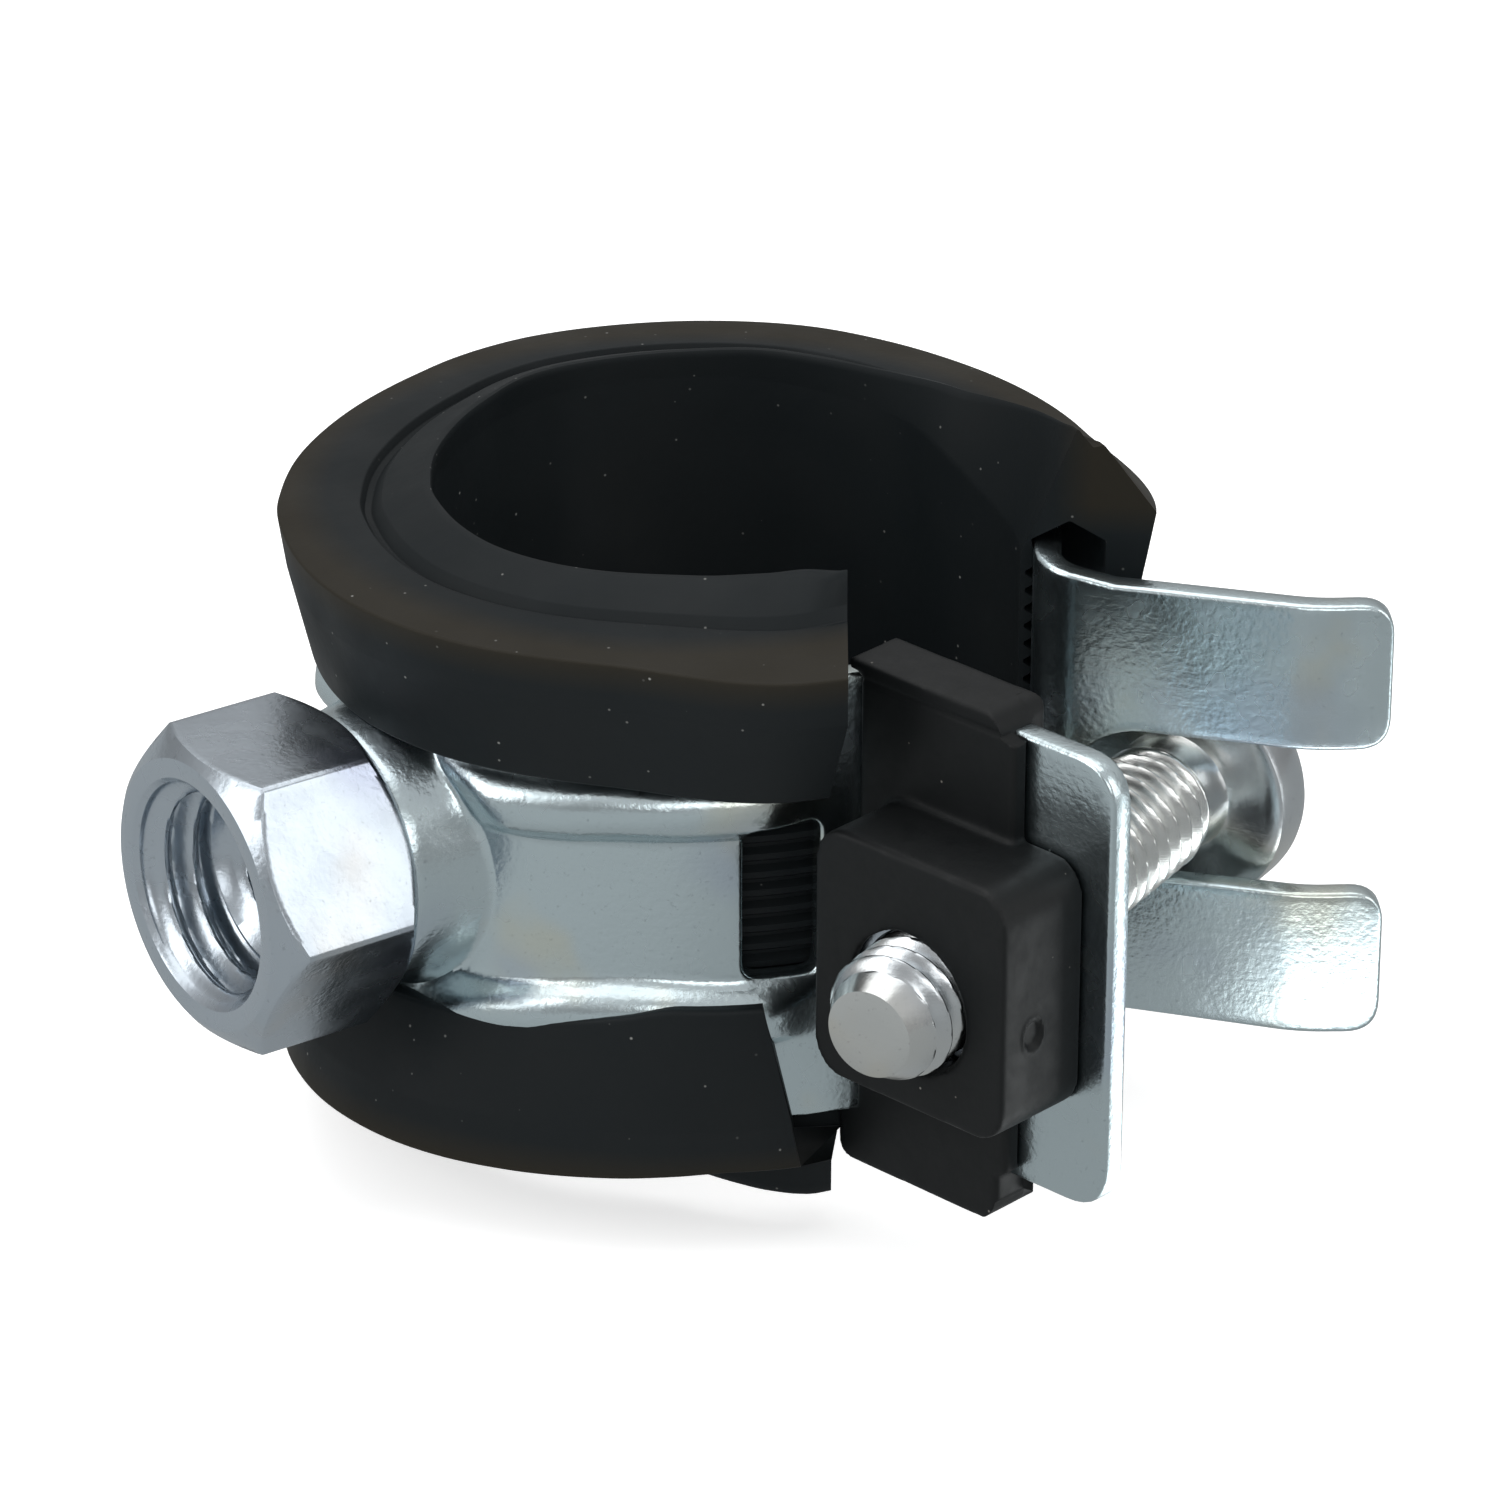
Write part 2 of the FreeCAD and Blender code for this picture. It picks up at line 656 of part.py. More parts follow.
# Plastic holder: a sleeve slid over the near ear, with a box that keeps the square nut
def make_holder():
    half = size("near_ear_height") / 2
    fit = size("holder_fit")
    start = size("holder_start")
    corner_radius = size("box_corner")
    deep = size("box_depth")
    tall = size("box_height")
    wide = size("box_width")
    sleeve = primitive("Box", "holder_sleeve", {
        "Length": "holder_end - holder_start",
        "Width": "holder_front_wall + strip_thickness + holder_back_wall",
        "Height": "near_ear_height + holder_cap_rise + holder_foot_drop",
    }, shift(near_frame, start, -size("holder_front_wall"), -half - size("holder_foot_drop")))
    box_frame = shift(near_frame, size("box_start"), -deep, size("box_level"))
    # the cap's tongue reaches past the bend, over the strip's edge
    tongue = primitive("Box", "cap_tongue", {
        "Length": "box_start - cap_start",
        "Width": "holder_front_wall + strip_thickness + holder_back_wall",
        "Height": "near_ear_height / 2 + holder_cap_rise - strip_width / 2 - holder_fit",
    }, shift(near_frame, size("cap_start"), -size("holder_front_wall"), width / 2 + fit))
    parts = [sleeve, tongue]
    parts.append(primitive("Box", "box_tall", {
        "Length": "box_width - box_corner * 2",
        "Width": "box_depth",
        "Height": "box_height",
    }, shift(box_frame, corner_radius, 0, -tall / 2)))
    parts.append(primitive("Box", "box_wide", {
        "Length": "box_width",
        "Width": "box_depth",
        "Height": "box_height - box_corner * 2",
    }, shift(box_frame, 0, 0, corner_radius - tall / 2)))
    for number, (x, z) in enumerate(((corner_radius, 1), (wide - corner_radius, 1),
                                     (corner_radius, -1), (wide - corner_radius, -1))):
        parts.append(primitive("Cylinder", "box_round_%d" % number, {
            "Radius": "box_corner",
            "Height": "box_depth",
        }, crossways(box_frame, x, deep, z * (tall / 2 - corner_radius))))
    # room for the ear, for the back wall's later start, for the ring and for the ear's bend
    hollows = [primitive("Box", "ear_room", {
        "Length": "near_ear_length * 3",
        "Width": "strip_thickness + holder_fit * 2",
        "Height": "near_ear_height + holder_fit * 2",
    }, shift(near_frame, -size("near_ear_length"), -fit, -half - fit))]
    hollows.append(primitive("Box", "back_trim", {
        "Length": "holder_back_start - holder_start + holder_fit",
        "Width": "strip_thickness + holder_back_wall * 3",
        "Height": "near_ear_height * 2",
    }, shift(near_frame, start - fit, -fit, half + fit - 2 * size("near_ear_height"))))
    hollows.append(primitive("Cylinder", "ring_room", {
        "Radius": "ring_radius + holder_fit",
        "Height": "strip_width + holder_fit * 2 + holder_foot_drop * 2",
    }, placed(V(0, 0, -width / 2 - fit - 2 * size("holder_foot_drop")), 0)))
    hollows.append(bend_room())
    # pocket and holes in line with the screw
    side = value("square_nut_side + pocket_fit * 2")
    hollows.append(primitive("Box", "nut_pocket", {
        "Length": "square_nut_side + pocket_fit * 2",
        "Width": "square_nut_side + pocket_fit * 2",
        "Height": "square_nut_thickness + pocket_fit * 2",
    }, shift(screw_frame(square_nut_offset() - size("pocket_fit")), -side / 2, -side / 2, 0)))
    hollows.append(primitive("Cylinder", "screw_passage", {
        "Radius": "screw_radius + screw_hole_fit",
        "Height": "screw_length",
    }, screw_frame(-size("screw_length") / 2)))
    holder = cut("nut_holder", fuse("holder_blank", parts), hollows)
    holder.Label = "nut_holder"
    return holder


def bend_room():
    # the ear's bend with a little air on the side of the holder
    frame = placed(near_centre, near_dir + 90)
    outside = primitive("Cylinder", "bend_room_outside", {
        "Radius": "bend_radius * 2 + strip_thickness * 2",
        "Height": "strip_width * 2 + holder_fit",
        "Angle": "90 + near_end_angle - near_ear_angle + bend_room_margin",
    }, shift(frame, 0, 0, -1.5 * width))
    inside = primitive("Cylinder", "bend_room_inside", {
        "Radius": "bend_radius - holder_fit",
        "Height": "strip_width * 4",
    }, shift(frame, 0, 0, -2 * width))
    return cut("bend_room", outside, [inside])


band = make_band()
nut = make_connection_nut()
liner = make_liner()
screw = make_screw()
square = make_square_nut()
holder = make_holder()
doc.recompute()

for obj in doc.Objects:
    if "Invalid" in obj.State or "Error" in obj.State:
        raise RuntimeError("%s could not be built" % obj.Name)

os.makedirs("parts", exist_ok=True)
for node in (band, nut, liner, screw, square, holder):
    shape = node.Shape
    if shape.isNull() or not shape.isValid():
        raise RuntimeError("%s has no sound shape" % node.Label)
    shape.exportStep("parts/%s.step" % node.Label)
    print(node.Label, round(shape.Volume, 2), len(shape.Solids), shape.BoundBox)
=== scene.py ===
import math

import bmesh
import bpy
import numpy
from mathutils import Matrix, Vector
from mathutils.geometry import delaunay_2d_cdt


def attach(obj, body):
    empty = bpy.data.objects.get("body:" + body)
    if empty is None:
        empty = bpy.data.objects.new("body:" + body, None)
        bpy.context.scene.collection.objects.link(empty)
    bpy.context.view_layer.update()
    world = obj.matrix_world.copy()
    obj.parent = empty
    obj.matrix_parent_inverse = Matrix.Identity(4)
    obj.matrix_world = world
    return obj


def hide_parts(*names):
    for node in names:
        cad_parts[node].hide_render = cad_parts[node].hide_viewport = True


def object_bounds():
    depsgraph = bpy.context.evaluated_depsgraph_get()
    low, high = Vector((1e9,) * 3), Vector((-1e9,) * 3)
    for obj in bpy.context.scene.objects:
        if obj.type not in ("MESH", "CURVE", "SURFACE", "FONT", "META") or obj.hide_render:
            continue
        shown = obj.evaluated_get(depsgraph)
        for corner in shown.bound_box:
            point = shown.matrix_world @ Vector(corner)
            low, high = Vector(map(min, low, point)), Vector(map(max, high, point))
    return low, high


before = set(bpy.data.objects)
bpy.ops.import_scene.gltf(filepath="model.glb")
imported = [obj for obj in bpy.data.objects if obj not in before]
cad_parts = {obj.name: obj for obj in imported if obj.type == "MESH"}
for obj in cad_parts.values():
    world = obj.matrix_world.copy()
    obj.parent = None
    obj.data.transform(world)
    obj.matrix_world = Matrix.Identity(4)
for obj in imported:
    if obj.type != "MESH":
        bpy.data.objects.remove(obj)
cad_low, cad_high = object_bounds()

MM = 0.001

# sizes in millimetres and degrees: those of the part's source, but the ears' edges are measured once more
STRIP = 1.2
HALF_WIDTH = 10.5
RING = 16.3
BEND = 1.3
NEAR_END = -64.3
FAR_END = -6.4
NEAR_EAR = -43.5
FAR_EAR = -14.1
NEAR_LENGTH = 12.7
NEAR_TOP = 10.2
NEAR_BOTTOM = -10.85
NEAR_CORNER = 2.2
NEAR_HOLE = 4.4
SCREW_STATION = 4.7
FORK_LENGTH = 9.4
FORK_HALF = 10.45
FORK_DROP = 0.4
CURL = 6.0
CURL_TURN = 17.8
CURL_LENGTH = 2.4
SLOT_HALF = 3.5
SLOT_START = 3.1
PRONG_CORNER = 1.5
BORE = 12.4
FIT = 0.05
NUT_ANGLE = -144.4
NUT_SEAT = 18.6
NUT_FLATS = 13.0
NUT_LENGTH = 7.5
NUT_FACE = 6.1
NUT_CHAMFER = 1.1
NUT_TWIST = -2.4
WIDE_CORE = 4.25
WIDE_DEPTH = 3.6
WIDE_OUTER = 5.0
MOUTH = 4.8
NARROW_CORE = 3.35
NARROW_OUTER = 4.0
SCREW = 2.9
SCREW_LENGTH = 26.6
HEAD = 5.5
HEAD_HEIGHT = 3.2
HEAD_ROUND = 1.5
SCREW_ALONG = Vector((0.519431, 0.8543556, 0.0163693))
SCREW_TIP = Vector((7.6221, -25.2475, -1.336))


def direction(angle):
    return Vector((math.cos(math.radians(angle)), math.sin(math.radians(angle)), 0))


def smooth(t):
    t = min(1.0, max(0.0, t))
    return t * t * (3 - 2 * t)


def lerp(a, b, t):
    return a + (b - a) * t


def from_table(rows, at):
    # a value read off a table of (position, value), eased a little between its rows
    if at <= rows[0][0]:
        return rows[0][1]
    for (a, va), (b, vb) in zip(rows, rows[1:]):
        if at <= b:
            t = (at - a) / (b - a)
            return lerp(va, vb, smooth(t) * 0.35 + 0.65 * t)
    return rows[-1][1]


def along_table(rows, at):
    # the same with one smooth curve through all its rows
    if at <= rows[0][0]:
        return rows[0][1]
    if at >= rows[-1][0]:
        return rows[-1][1]
    i = max(k for k in range(len(rows) - 1) if rows[k][0] <= at)

    def slope(k):
        if k in (0, len(rows) - 1):
            return 0.0
        return (rows[k + 1][1] - rows[k - 1][1]) / (rows[k + 1][0] - rows[k - 1][0])

    span = rows[i + 1][0] - rows[i][0]
    t = (at - rows[i][0]) / span
    return (rows[i][1] * (1 + 2 * t) * (1 - t) ** 2 + slope(i) * span * t * (1 - t) ** 2
            + rows[i + 1][1] * t * t * (3 - 2 * t) - slope(i + 1) * span * t * t * (1 - t))


def new_object(name, data):
    thing = bpy.data.objects.new(name, data)
    bpy.context.scene.collection.objects.link(thing)
    return thing


def link(name, mesh, material, body, nodes):
    # a piece that rides on one body and stands for nodes of the solids
    piece = new_object(name, mesh)
    mesh.materials.clear()
    mesh.materials.append(material)
    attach(piece, body)
    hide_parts(*nodes)
    return piece


def make_mesh(name, points, faces, sharp_angle=35, merge=0.0):
    # points in millimetres; an edge is sharp where its faces turn by more than sharp_angle
    mesh = bpy.data.meshes.new(name)
    mesh.from_pydata([Vector(p) * MM for p in points], [], faces)
    bm = bmesh.new()
    bm.from_mesh(mesh)
    if merge:
        bmesh.ops.remove_doubles(bm, verts=bm.verts, dist=merge * MM)
    bmesh.ops.recalc_face_normals(bm, faces=bm.faces)
    limit = math.radians(sharp_angle)
    for face in bm.faces:
        face.smooth = True
    for edge in bm.edges:
        if len(edge.link_faces) == 2:
            edge.smooth = edge.calc_face_angle(0) < limit
    bm.to_mesh(mesh)
    bm.free()
    return mesh


def grid(rings, closed_rings=False, caps=False, closed_lines=True):
    # rings of equal length joined into one skin
    count = len(rings)
    width = len(rings[0])
    points = [p for ring in rings for p in ring]
    faces = []
    for i in range(count if closed_rings else count - 1):
        after = (i + 1) % count
        for j in range(width if closed_lines else width - 1):
            k = (j + 1) % width
            faces.append((i * width + j, i * width + k, after * width + k, after * width + j))
    if caps:
        faces.append(tuple(range(width)))
        faces.append(tuple(range((count - 1) * width, count * width)))
    return points, faces


def rounded(corners, steps=4):
    # an outline of (x, y, radius) corners, each turned into a curve of a fixed number of points
    out = []
    count = len(corners)
    for i, (x, y, radius) in enumerate(corners):
        here = Vector((x, y))
        before = Vector(corners[i - 1][:2]) - here
        after = Vector(corners[(i + 1) % count][:2]) - here
        if radius <= 0:
            out.append((x, y))
            continue
        half = before.angle(after) / 2
        reach = min(radius / max(math.tan(half), 0.05), 0.48 * before.length, 0.48 * after.length)
        a = here + before.normalized() * reach
        b = here + after.normalized() * reach
        for s in range(steps + 1):
            t = s / steps
            p = (1 - t) ** 2 * a + 2 * t * (1 - t) * here + t * t * b
            out.append((p.x, p.y))
    return out


def rgb(code):
    # sRGB hex to linear colour
    out = []
    for i in (1, 3, 5):
        c = int(code[i:i + 2], 16) / 255
        out.append(c / 12.92 if c <= 0.04045 else ((c + 0.055) / 1.055) ** 2.4)
    return (*out, 1.0)


def feed(tree, node, inputs):
    for key, value in inputs.items():
        if isinstance(value, bpy.types.NodeSocket):
            tree.links.new(value, node.inputs[key])
        else:
            node.inputs[key].default_value = value


def add(tree, kind, inputs=None, out=0, **settings):
    # one node with its settings and links; gives back one of its outputs
    node = tree.nodes.new(kind)
    for key, value in settings.items():
        setattr(node, key, value)
    feed(tree, node, inputs or {})
    return node.outputs[out]


def new_material(name):
    material = bpy.data.materials.new(name)
    material.use_nodes = True
    tree = material.node_tree
    return material, tree, tree.nodes["Principled BSDF"]


# Zinc plate with a clear blue passivate, on pressed or rolled steel: a cold silver with straw and violet
# clouds 6 to 9 mm across, pits of 0.1 mm, drag marks, an orange peel of 0.3 mm, and soft rather than sharp
# reflections
def zinc_plate(name, silver, straw, violet, roughness, pitting):
    material, tree, surface = new_material(name)
    place = add(tree, "ShaderNodeTexCoord", out="Object")
    cloud = add(tree, "ShaderNodeTexNoise", {"Vector": place, "Scale": 1 / 0.006, "Detail": 3.0})
    haze = add(tree, "ShaderNodeTexNoise", {"Vector": place, "Scale": 1 / 0.009, "Detail": 2.0, "Roughness": 0.4})
    straw_share = add(tree, "ShaderNodeMapRange", {"Value": cloud, "From Min": 0.54, "From Max": 0.74,
                                                  "To Min": 0.0, "To Max": 0.6}, interpolation_type="SMOOTHSTEP")
    violet_share = add(tree, "ShaderNodeMapRange", {"Value": haze, "From Min": 0.54, "From Max": 0.70,
                                                   "To Min": 0.0, "To Max": 0.8}, interpolation_type="SMOOTHSTEP")
    tone = add(tree, "ShaderNodeMix", {0: straw_share, 6: rgb(silver), 7: rgb(straw)}, 2, data_type="RGBA")
    tone = add(tree, "ShaderNodeMix", {0: violet_share, 6: tone, 7: rgb(violet)}, 2, data_type="RGBA")
    # the pits, drawn at about 0.2 mm so that they show
    pit = add(tree, "ShaderNodeTexNoise", {"Vector": place, "Scale": 1 / 0.00022, "Detail": 2.0, "Roughness": 0.6})
    pit_shade = add(tree, "ShaderNodeMapRange", {"Value": pit, "From Min": 0.27, "From Max": 0.36,
                                                "To Min": 0.86, "To Max": 1.0})
    tone = add(tree, "ShaderNodeMix", {0: 1.0, 6: tone, 7: pit_shade}, 2, data_type="RGBA", blend_type="MULTIPLY")
    # drag marks of the press, drawn out along the strip's length: 0.1 mm across the strip, 2.4 mm long
    drawn = add(tree, "ShaderNodeMapping", {"Vector": place, "Scale": (0.25, 0.25, 6.0)})
    drag = add(tree, "ShaderNodeTexNoise", {"Vector": drawn, "Scale": 1 / 0.0006, "Detail": 2.0})
    dull = add(tree, "ShaderNodeTexNoise", {"Vector": place, "Scale": 1 / 0.0018, "Detail": 2.0, "Roughness": 0.5})
    gloss = add(tree, "ShaderNodeMapRange", {"Value": dull, "From Min": 0.3, "From Max": 0.7,
                                            "To Min": roughness - 0.02, "To Max": roughness + 0.05})
    fine = add(tree, "ShaderNodeBump", {"Height": drag, "Strength": 0.10, "Distance": 0.00003})
    grain = add(tree, "ShaderNodeTexNoise", {"Vector": place, "Scale": 1 / 0.00028, "Detail": 2.0})
    fine = add(tree, "ShaderNodeBump", {"Height": grain, "Strength": pitting, "Distance": 0.00004, "Normal": fine})
    swell = add(tree, "ShaderNodeTexNoise", {"Vector": place, "Scale": 1 / 0.0035, "Detail": 2.0})
    relief = add(tree, "ShaderNodeBump", {"Height": swell, "Strength": 0.22, "Distance": 0.00014, "Normal": fine})
    feed(tree, surface, {"Base Color": tone, "Metallic": 1.0, "Roughness": gloss, "Normal": relief})
    return material


# EPDM rubber, moulded: charcoal with a dull bloom, browner on the outer flanges and bluer near the bore,
# with dust of 0.05 mm on it, drawn at about 0.1 mm so that it shows
def moulded_rubber(name):
    material, tree, surface = new_material(name)
    place = add(tree, "ShaderNodeTexCoord", out="Object")
    apart = add(tree, "ShaderNodeSeparateXYZ", {"Vector": place}, "Z")
    flat = add(tree, "ShaderNodeVectorMath", {0: place, 1: (1, 1, 0)}, operation="MULTIPLY")
    reach = add(tree, "ShaderNodeVectorMath", {0: flat}, "Value", operation="LENGTH")
    outward = add(tree, "ShaderNodeMapRange", {"Value": reach, "From Min": 0.0160, "From Max": 0.0176})
    side = add(tree, "ShaderNodeMapRange", {"Value": add(tree, "ShaderNodeMath", {0: apart}, operation="ABSOLUTE"),
                                           "From Min": 0.0110, "From Max": 0.0124})
    brown = add(tree, "ShaderNodeMath", {0: outward, 1: side}, operation="MULTIPLY")
    cloud = add(tree, "ShaderNodeTexNoise", {"Vector": place, "Scale": 1 / 0.007, "Detail": 3.0, "Roughness": 0.6})
    tone = add(tree, "ShaderNodeMix", {0: cloud, 6: rgb("#161c1f"), 7: rgb("#1d2021")}, 2, data_type="RGBA")
    tone = add(tree, "ShaderNodeMix", {0: brown, 6: tone, 7: rgb("#29261f")}, 2, data_type="RGBA")
    speck = add(tree, "ShaderNodeTexVoronoi", {"Vector": place, "Scale": 1 / 0.0008}, "Distance")
    speck = add(tree, "ShaderNodeMapRange", {"Value": speck, "From Min": 0.04, "From Max": 0.10,
                                            "To Min": 1.0, "To Max": 0.0})
    pick = add(tree, "ShaderNodeTexVoronoi", {"Vector": place, "Scale": 1 / 0.0008}, "Color")
    pick = add(tree, "ShaderNodeMapRange", {"Value": add(tree, "ShaderNodeSeparateColor", {"Color": pick}),
                                           "From Min": 0.60, "From Max": 1.0, "To Min": 0.0, "To Max": 0.7})
    dust = add(tree, "ShaderNodeMath", {0: speck, 1: pick}, operation="MULTIPLY")
    tone = add(tree, "ShaderNodeMix", {0: dust, 6: tone, 7: rgb("#a9aaa6")}, 2, data_type="RGBA")
    bloom = add(tree, "ShaderNodeTexNoise", {"Vector": place, "Scale": 1 / 0.004, "Detail": 4.0})
    dull = add(tree, "ShaderNodeMapRange", {"Value": bloom, "From Min": 0.3, "From Max": 0.7,
                                           "To Min": 0.44, "To Max": 0.60})
    grain = add(tree, "ShaderNodeTexNoise", {"Vector": place, "Scale": 1 / 0.0004, "Detail": 4.0})
    fine = add(tree, "ShaderNodeBump", {"Height": grain, "Strength": 0.22, "Distance": 0.00003})
    swell = add(tree, "ShaderNodeTexNoise", {"Vector": place, "Scale": 1 / 0.006, "Detail": 2.0})
    relief = add(tree, "ShaderNodeBump", {"Height": swell, "Strength": 0.25, "Distance": 0.00016, "Normal": fine})
    feed(tree, surface, {"Base Color": tone, "Roughness": dull, "Specular IOR Level": 0.15, "Normal": relief})
    return material


# Polyamide, injection moulded in a spark-eroded mould: matte black with faint scuffs of about 1 mm, a fine even
# grain of 0.1 mm, drawn at about 0.3 mm so that it shows, and dust of 0.05 mm, drawn at about 0.1 mm
def moulded_polyamide(name):
    material, tree, surface = new_material(name)
    place = add(tree, "ShaderNodeTexCoord", out="Object")
    cloud = add(tree, "ShaderNodeTexNoise", {"Vector": place, "Scale": 1 / 0.005, "Detail": 3.0})
    tone = add(tree, "ShaderNodeMix", {0: cloud, 6: rgb("#101314"), 7: rgb("#151718")}, 2, data_type="RGBA")
    speck = add(tree, "ShaderNodeTexVoronoi", {"Vector": place, "Scale": 1 / 0.0016}, "Distance")
    speck = add(tree, "ShaderNodeMapRange", {"Value": speck, "From Min": 0.02, "From Max": 0.045,
                                            "To Min": 0.8, "To Max": 0.0})
    tone = add(tree, "ShaderNodeMix", {0: speck, 6: tone, 7: rgb("#8d8a84")}, 2, data_type="RGBA")
    scuff = add(tree, "ShaderNodeTexNoise", {"Vector": place, "Scale": 1 / 0.0012, "Detail": 5.0, "Roughness": 0.7})
    dull = add(tree, "ShaderNodeMapRange", {"Value": scuff, "From Min": 0.3, "From Max": 0.7,
                                           "To Min": 0.42, "To Max": 0.58})
    grain = add(tree, "ShaderNodeTexNoise", {"Vector": place, "Scale": 1 / 0.0003, "Detail": 3.0})
    fine = add(tree, "ShaderNodeBump", {"Height": grain, "Strength": 0.18, "Distance": 0.00002})
    feed(tree, surface, {"Base Color": tone, "Roughness": dull, "Specular IOR Level": 0.24, "Normal": fine})
    return material


STRIP_ZINC = zinc_plate("zinc_plated_strip", "#cbd9dd", "#d8d8c6", "#bcc8d6", 0.24, 0.46)
NUT_ZINC = zinc_plate("zinc_plated_nut", "#bdc6ce", "#c4c2be", "#b3bacd", 0.25, 0.30)
SCREW_ZINC = zinc_plate("zinc_plated_screw", "#d3d5d3", "#dad4c4", "#c3c9ce", 0.22, 0.16)
RUBBER = moulded_rubber("epdm_rubber")
PLASTIC = moulded_polyamide("black_polyamide")


# Strip: one pressed sheet, drawn flat and then laid along its path with its beads, boss, bends and ears
def sweep_length(radius, turn):
    return radius * math.radians(abs(turn))


NEAR_BEND_TURN = 90 + NEAR_END - NEAR_EAR
FAR_BEND_TURN = 90 + FAR_EAR - FAR_END
RING_TURN = 360 + NEAR_END - FAR_END
# stretches of the outer face from the near ear's tip to the fork's tip: length, and turn to the left
STRETCHES = [
    (NEAR_LENGTH, 0),
    (sweep_length(BEND, NEAR_BEND_TURN), NEAR_BEND_TURN),
    (sweep_length(RING, RING_TURN), -RING_TURN),
    (sweep_length(BEND, FAR_BEND_TURN), FAR_BEND_TURN),
    (FORK_LENGTH, 0),
    (sweep_length(CURL, CURL_TURN), CURL_TURN),
    (CURL_LENGTH, 0),
]
LIMITS = [sum(length for length, turn in STRETCHES[:i]) for i in range(len(STRETCHES) + 1)]
RING_START = LIMITS[2]
RING_STOP = LIMITS[3]
FORK_START = LIMITS[4]
TIP = LIMITS[7]

# the opened ring is a little out of round: outward shift of strip and liner by angle
SWELL = [(-6.4, 0.0), (20, 0.0), (50, 0.2), (64, 0.5), (76, 0.8), (90, 0.7), (103, 0.5), (115, 0.3), (121, 0.1),
         (129, -0.25), (137, -0.65), (147, -0.9), (160, -1.0), (174, -0.85), (183, -0.7), (190, -0.5), (198, -0.4),
         (212, -0.1), (223, 0.1), (236, 0.1), (245, 0.0), (259, -0.2), (272, -0.1), (294, 0.0)]
# bead: height across its width, from its middle outwards, and the levels of its inner foot along the ring
BEAD_SHAPE = [(0.0, 1.05), (0.35, 1.03), (0.7, 0.92), (1.0, 0.70), (1.25, 0.38), (1.4, 0.12), (1.55, 0.0)]
BEAD_HALF = 1.5
UPPER_FOOT = [(-126, 2.7), (-120, 2.65), (-111, 2.75), (-103, 2.95), (-95, 3.1), (-80, 3.25)]
LOWER_FOOT = [(-126, 4.7), (-120, 4.5), (-111, 4.05), (-103, 3.75), (-95, 3.6), (-80, 3.7)]
BOSS_TOP = 5.75
BOSS_FOOT = 6.55
OUTWARD = direction(NUT_ANGLE)
SIDEWAYS = direction(NUT_ANGLE + 90)
WINDOW_ANGLE = -75.7
WINDOW_HALF = 1.71
WINDOW_TOP = 3.9
WINDOW_BOTTOM = -3.55
WINDOW_CORNER = 0.75
EDGE_ROUND = 0.22
# the sheet's points: their spacing along the ring and ears, along bends shorter than TIGHT_BEND and across the
# strip, how far they keep from its rims, and how many stand round the hole, the slot and where the boss rises
WIDE_PITCH = 0.38
BEND_PITCH = 0.14
TIGHT_BEND = 2.2
ROW_PITCH = 0.26
ROW_COUNT = 81
LOWEST_ROW = -10.4
RIM_MARGIN = EDGE_ROUND + 0.16
OUTLINE_PITCH = 0.36
WINDOW_PITCH = 0.25
HOLE_POINTS = 56
SLOT_POINTS = 24
BOSS_RINGS = 11
BOSS_POINTS = 120
BOSS_REGION = 12
NEAR_FACE_ORIGIN = direction(NEAR_END) * (RING + BEND) + direction(NEAR_EAR + 90) * BEND


def along_strip(u):
    # point of the outer face in the plan, and the way out of it
    here = NEAR_FACE_ORIGIN + direction(NEAR_EAR) * NEAR_LENGTH
    heading = NEAR_EAR + 180
    for (length, turn), limit in zip(STRETCHES, LIMITS):
        step = min(max(u - limit, 0.0), length)
        if u > limit:
            part = turn * step / length
            if turn:
                radius = length / math.radians(turn)
                centre = here + direction(heading + 90) * radius
                here = centre - direction(heading + 90 + part) * radius
            else:
                here = here + direction(heading) * step
            heading += part
    return here, direction(heading + 90)


def bead_height(angle, z):
    fade = smooth((NEAR_END - 4.0 - angle) / 12.0) * smooth((angle + 360 + FAR_END - 8.0) / 10.0)
    level = along_table(UPPER_FOOT if z > 0 else LOWER_FOOT, angle) + BEAD_HALF
    return fade * from_table(BEAD_SHAPE, abs(abs(z) - level))


def lay(u, z, depth):
    # a place in the flat sheet, given by its depth under the outer face, as a place in the bent strip
    here, out = along_strip(u)
    lift = 0.0
    if RING_START < u < RING_STOP:
        angle = NEAR_END - math.degrees((u - RING_START) / RING)
        here = here + out * along_table(SWELL, angle + 360)
        lift = bead_height(angle, z)
    across = here.dot(SIDEWAYS)
    rise = here.dot(OUTWARD)
    reach = math.hypot(across, z)
    share = 0.0
    if rise > 0:
        share = smooth((BOSS_FOOT - reach) / (BOSS_FOOT - BOSS_TOP))
        # the beads run out into the boss
        lift *= lerp(0.3, 1.0, smooth((reach - BOSS_FOOT + 0.3) / 2.0))
    place = here + out * (lift * (1 - share) - depth)
    place = place + OUTWARD * ((NUT_SEAT - rise) * share)
    return (place.x, place.y, z)


def resampled(loop, spacing):
    # a closed outline with points evenly spaced along it
    out = []
    count = len(loop)
    for i in range(count):
        a = Vector(loop[i])
        b = Vector(loop[(i + 1) % count])
        steps = max(1, round((b - a).length / spacing))
        for s in range(steps):
            p = a.lerp(b, s / steps)
            out.append((p.x, p.y))
    return out


def inset(loop, distance):
    # the outline moved to its left, which is where the metal is
    out = []
    count = len(loop)
    for i in range(count):
        before = Vector(loop[i - 1])
        here = Vector(loop[i])
        after = Vector(loop[(i + 1) % count])
        a = (here - before).normalized()
        b = (after - here).normalized()
        side = Vector((-(a + b).y, (a + b).x))
        if side.length < 1e-6:
            side = Vector((-a.y, a.x))
        side.normalize()
        stretch = 1 / max(0.5, side.dot(Vector((-a.y, a.x))))
        p = here + side * distance * stretch
        out.append((p.x, p.y))
    return out


